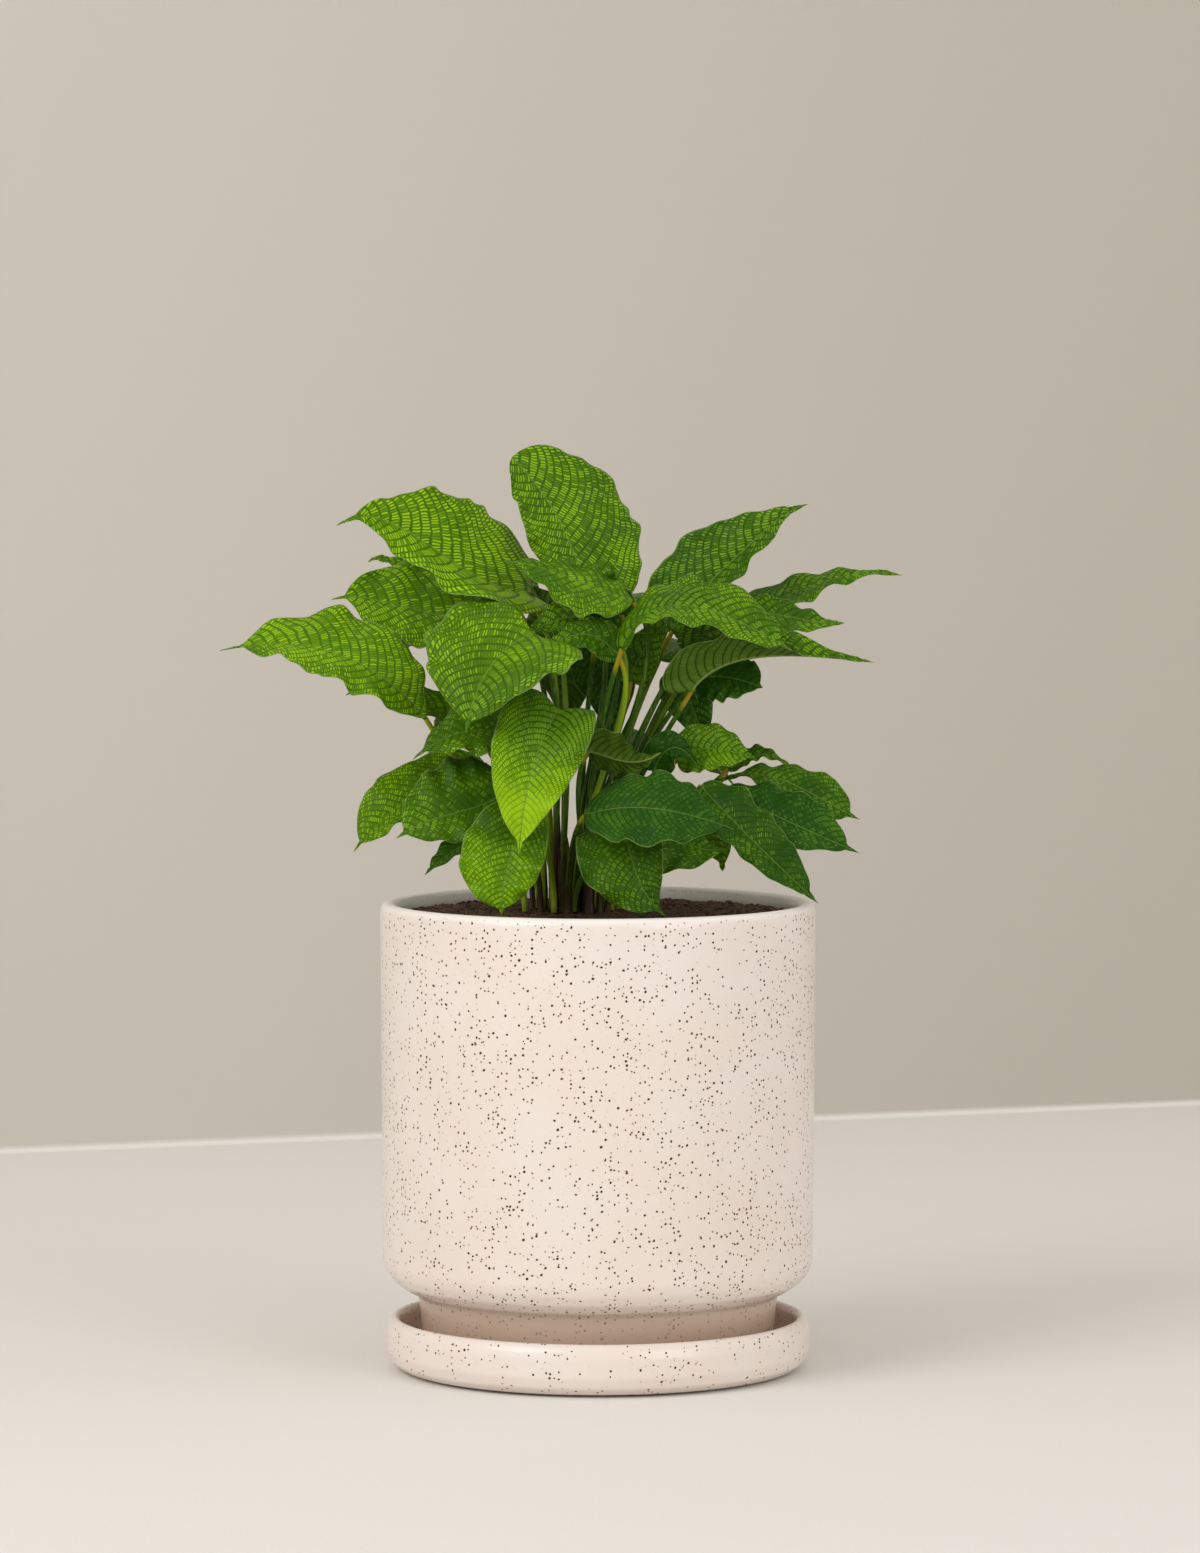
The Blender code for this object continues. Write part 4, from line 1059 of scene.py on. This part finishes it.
def turned(name, profile, reach, material):
    """A smooth solid of revolution from a profile that runs clockwise in the radius-height plane."""
    closed = profile[0][0] > 0
    points, faces, rings = [], [], []
    for radius, height in eased(profile, reach, closed):
        if radius < 1e-6:
            rings.append([len(points)] * TURN_STEPS)
            points.append((0, 0, height * MM))
            continue
        rings.append(list(range(len(points), len(points) + TURN_STEPS)))
        for step in range(TURN_STEPS):
            turn = 2 * math.pi * step / TURN_STEPS
            points.append((radius * math.cos(turn) * MM, radius * math.sin(turn) * MM, height * MM))
    for upper, lower in zip(rings, rings[1:] + rings[:closed]):
        for i in range(TURN_STEPS):
            j = (i + 1) % TURN_STEPS
            corners = list(dict.fromkeys((upper[i], lower[i], lower[j], upper[j])))
            if len(corners) > 2:
                faces.append(corners)
    return mesh_piece(name, points, faces, material, smooth=True)


def mesh_piece(name, points, faces, material, smooth):
    mesh = bpy.data.meshes.new(name)
    mesh.from_pydata(points, [], faces)
    mesh.materials.append(material)
    if smooth:
        mesh.shade_smooth()
    else:
        mesh.shade_flat()
    made = bpy.data.objects.new(name, mesh)
    bpy.context.scene.collection.objects.link(made)
    return made


# ---------------------------------------------------------------- stage, light and camera, in metres

STAGE_HALF = 3.0
STAGE_DEPTH = 3.6
STAGE_DROP = 0.0002
FLOOR_LINE = [(-STAGE_DEPTH, 0.0), (STAGE_DEPTH, 0.0)]
WALL_LINE = [(0.934, 0.0), (0.937, 0.001), (0.938, 0.004), (0.938, 2.6)]
WALL_SKEW = 0.345
LAMP_COLOUR = (1.0, 0.997, 0.995)
AIR_COLOUR = (1.0, 0.985, 0.97, 1)
AIR_STRENGTH = 0.77
CAMERA_X = 0.0009
CAMERA_PITCH = 3.41
LENS = 142.0
SENSOR = 36.0


def backdrop_sheet(name, line, skew, material):
    """A sheet swept sideways along a line of (depth, height). With skew, its right end lies further back."""
    points = [(side, depth + skew * side, height - STAGE_DROP)
              for depth, height in line for side in (-STAGE_HALF, STAGE_HALF)]
    faces = [(i, i + 1, i + 3, i + 2) for i in range(0, len(points) - 2, 2)]
    mesh_piece(name, points, faces, material, smooth=False)


def floor_material():
    made, tree, place = new_material("floor_paper")
    dress(tree, blend(tree, noise(tree, place, 700.0, 3.0).between(0.3, 0.7), PAPER_DARK, PAPER_PALE), 0.9)
    return made


def wall_material():
    """Plain paper with painted shade that darkens it to the right. From behind it is clear."""
    made, tree, place = new_material("wall_paper")
    across, _, height = place.parts()
    # Painted shade: the wall darkens from left to right, as the light falls off across it
    paper = blend(tree, across.between(-0.5, 0.6), WALL_LEFT, WALL_RIGHT_PAINTED_SHADE)
    shader = dress(tree, blend(tree, height.between(0.0, 0.004), WALL_FOOT, paper), 0.9)
    behind = add_node(tree, "ShaderNodeNewGeometry").outputs["Backfacing"]
    clear = add_node(tree, "ShaderNodeBsdfTransparent").outputs[0]
    seen = add_node(tree, "ShaderNodeMixShader", {0: behind, 1: shader.outputs[0], 2: clear})
    tree.links.new(seen.outputs[0], tree.nodes["Material Output"].inputs["Surface"])
    return made


def softbox(name, place, aim, size, power):
    light = bpy.data.lights.new(name, "AREA")
    light.shape = "DISK"
    light.size = size
    light.energy = power
    light.color = LAMP_COLOUR
    lamp = bpy.data.objects.new(name, light)
    lamp.location = place
    lamp.rotation_euler = (Vector(aim) - Vector(place)).to_track_quat("-Z", "Y").to_euler()
    bpy.context.scene.collection.objects.link(lamp)


def studio_air():
    """Soft light from all round, and plain colours."""
    world = bpy.data.worlds.new("studio_air")
    world.use_nodes = True
    background = world.node_tree.nodes["Background"]
    background.inputs["Color"].default_value = AIR_COLOUR
    background.inputs["Strength"].default_value = AIR_STRENGTH
    bpy.context.scene.world = world
    bpy.context.scene.view_settings.view_transform = "Standard"


def front_camera():
    lens = bpy.data.cameras.new("front_camera")
    lens.lens = LENS
    lens.sensor_width = SENSOR
    lens.clip_end = 50.0
    camera = bpy.data.objects.new("front_camera", lens)
    camera.location = (CAMERA_X, -VIEW_DISTANCE * MM, VIEW_HEIGHT * MM)
    camera.rotation_euler = (math.radians(90 - CAMERA_PITCH), 0, 0)
    bpy.context.scene.collection.objects.link(camera)
    bpy.context.scene.camera = camera


# ---------------------------------------------------------------- building


def settle(piece, node):
    """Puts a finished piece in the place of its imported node."""
    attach(piece, "root")
    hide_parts(node)


def set_pot():
    speckled = glaze_material("speckled_glaze", 0.46)
    settle(turned("glazed_pot", POT_PROFILE, POT_EASE, speckled), "pot")
    calmer = glaze_material("saucer_glaze", 0.26)
    settle(turned("glazed_saucer", SAUCER_PROFILE, SAUCER_EASE, calmer), "saucer")
    settle(grown("soil_surface", soil_tree(soil_material()), {"Crumbs": CRUMBS, "Seed": 3}), "soil")


def set_old_stems():
    tree = old_stem_tree(old_stem_material())
    for number, (name, (foot, top, foot_radius, top_radius)) in enumerate(OLD_STEMS.items()):
        values = {"Foot": Vector((*foot, STALK_FOOT_Z - 2)) * MM, "Top": Vector(top) * MM,
                  "Foot Radius": foot_radius * MM, "Top Radius": top_radius * MM, "Seed": 2.0 + number}
        settle(grown("husk_" + name[-2:], tree, values), name)


def set_leaves():
    tree = leaf_tree(leaf_upper_material(), leaf_under_material(), stalk_material())
    fixed = [old_stem_curve(foot, top) for foot, top, _, _ in OLD_STEMS.values()]
    curves = settled_stalks([stalk_curve(item) for item in LEAVES], fixed)
    for number, (item, curve) in enumerate(zip(LEAVES, curves)):
        piece = grown(item["name"].replace("leaf", "foliage"), tree, leaf_values(item, curve, number))
        settle(piece, item["name"])


set_pot()
set_old_stems()
set_leaves()
backdrop_sheet("floor", FLOOR_LINE, 0.0, floor_material())
backdrop_sheet("wall", WALL_LINE, WALL_SKEW, wall_material())
softbox("key_softbox", (-2.1, -2.0, 2.1), (0, 0, 0.25), 2.2, 45.0)
softbox("fill_softbox", (2.0, -2.4, 1.2), (0, 0, 0.2), 1.8, 20.0)
studio_air()
front_camera()
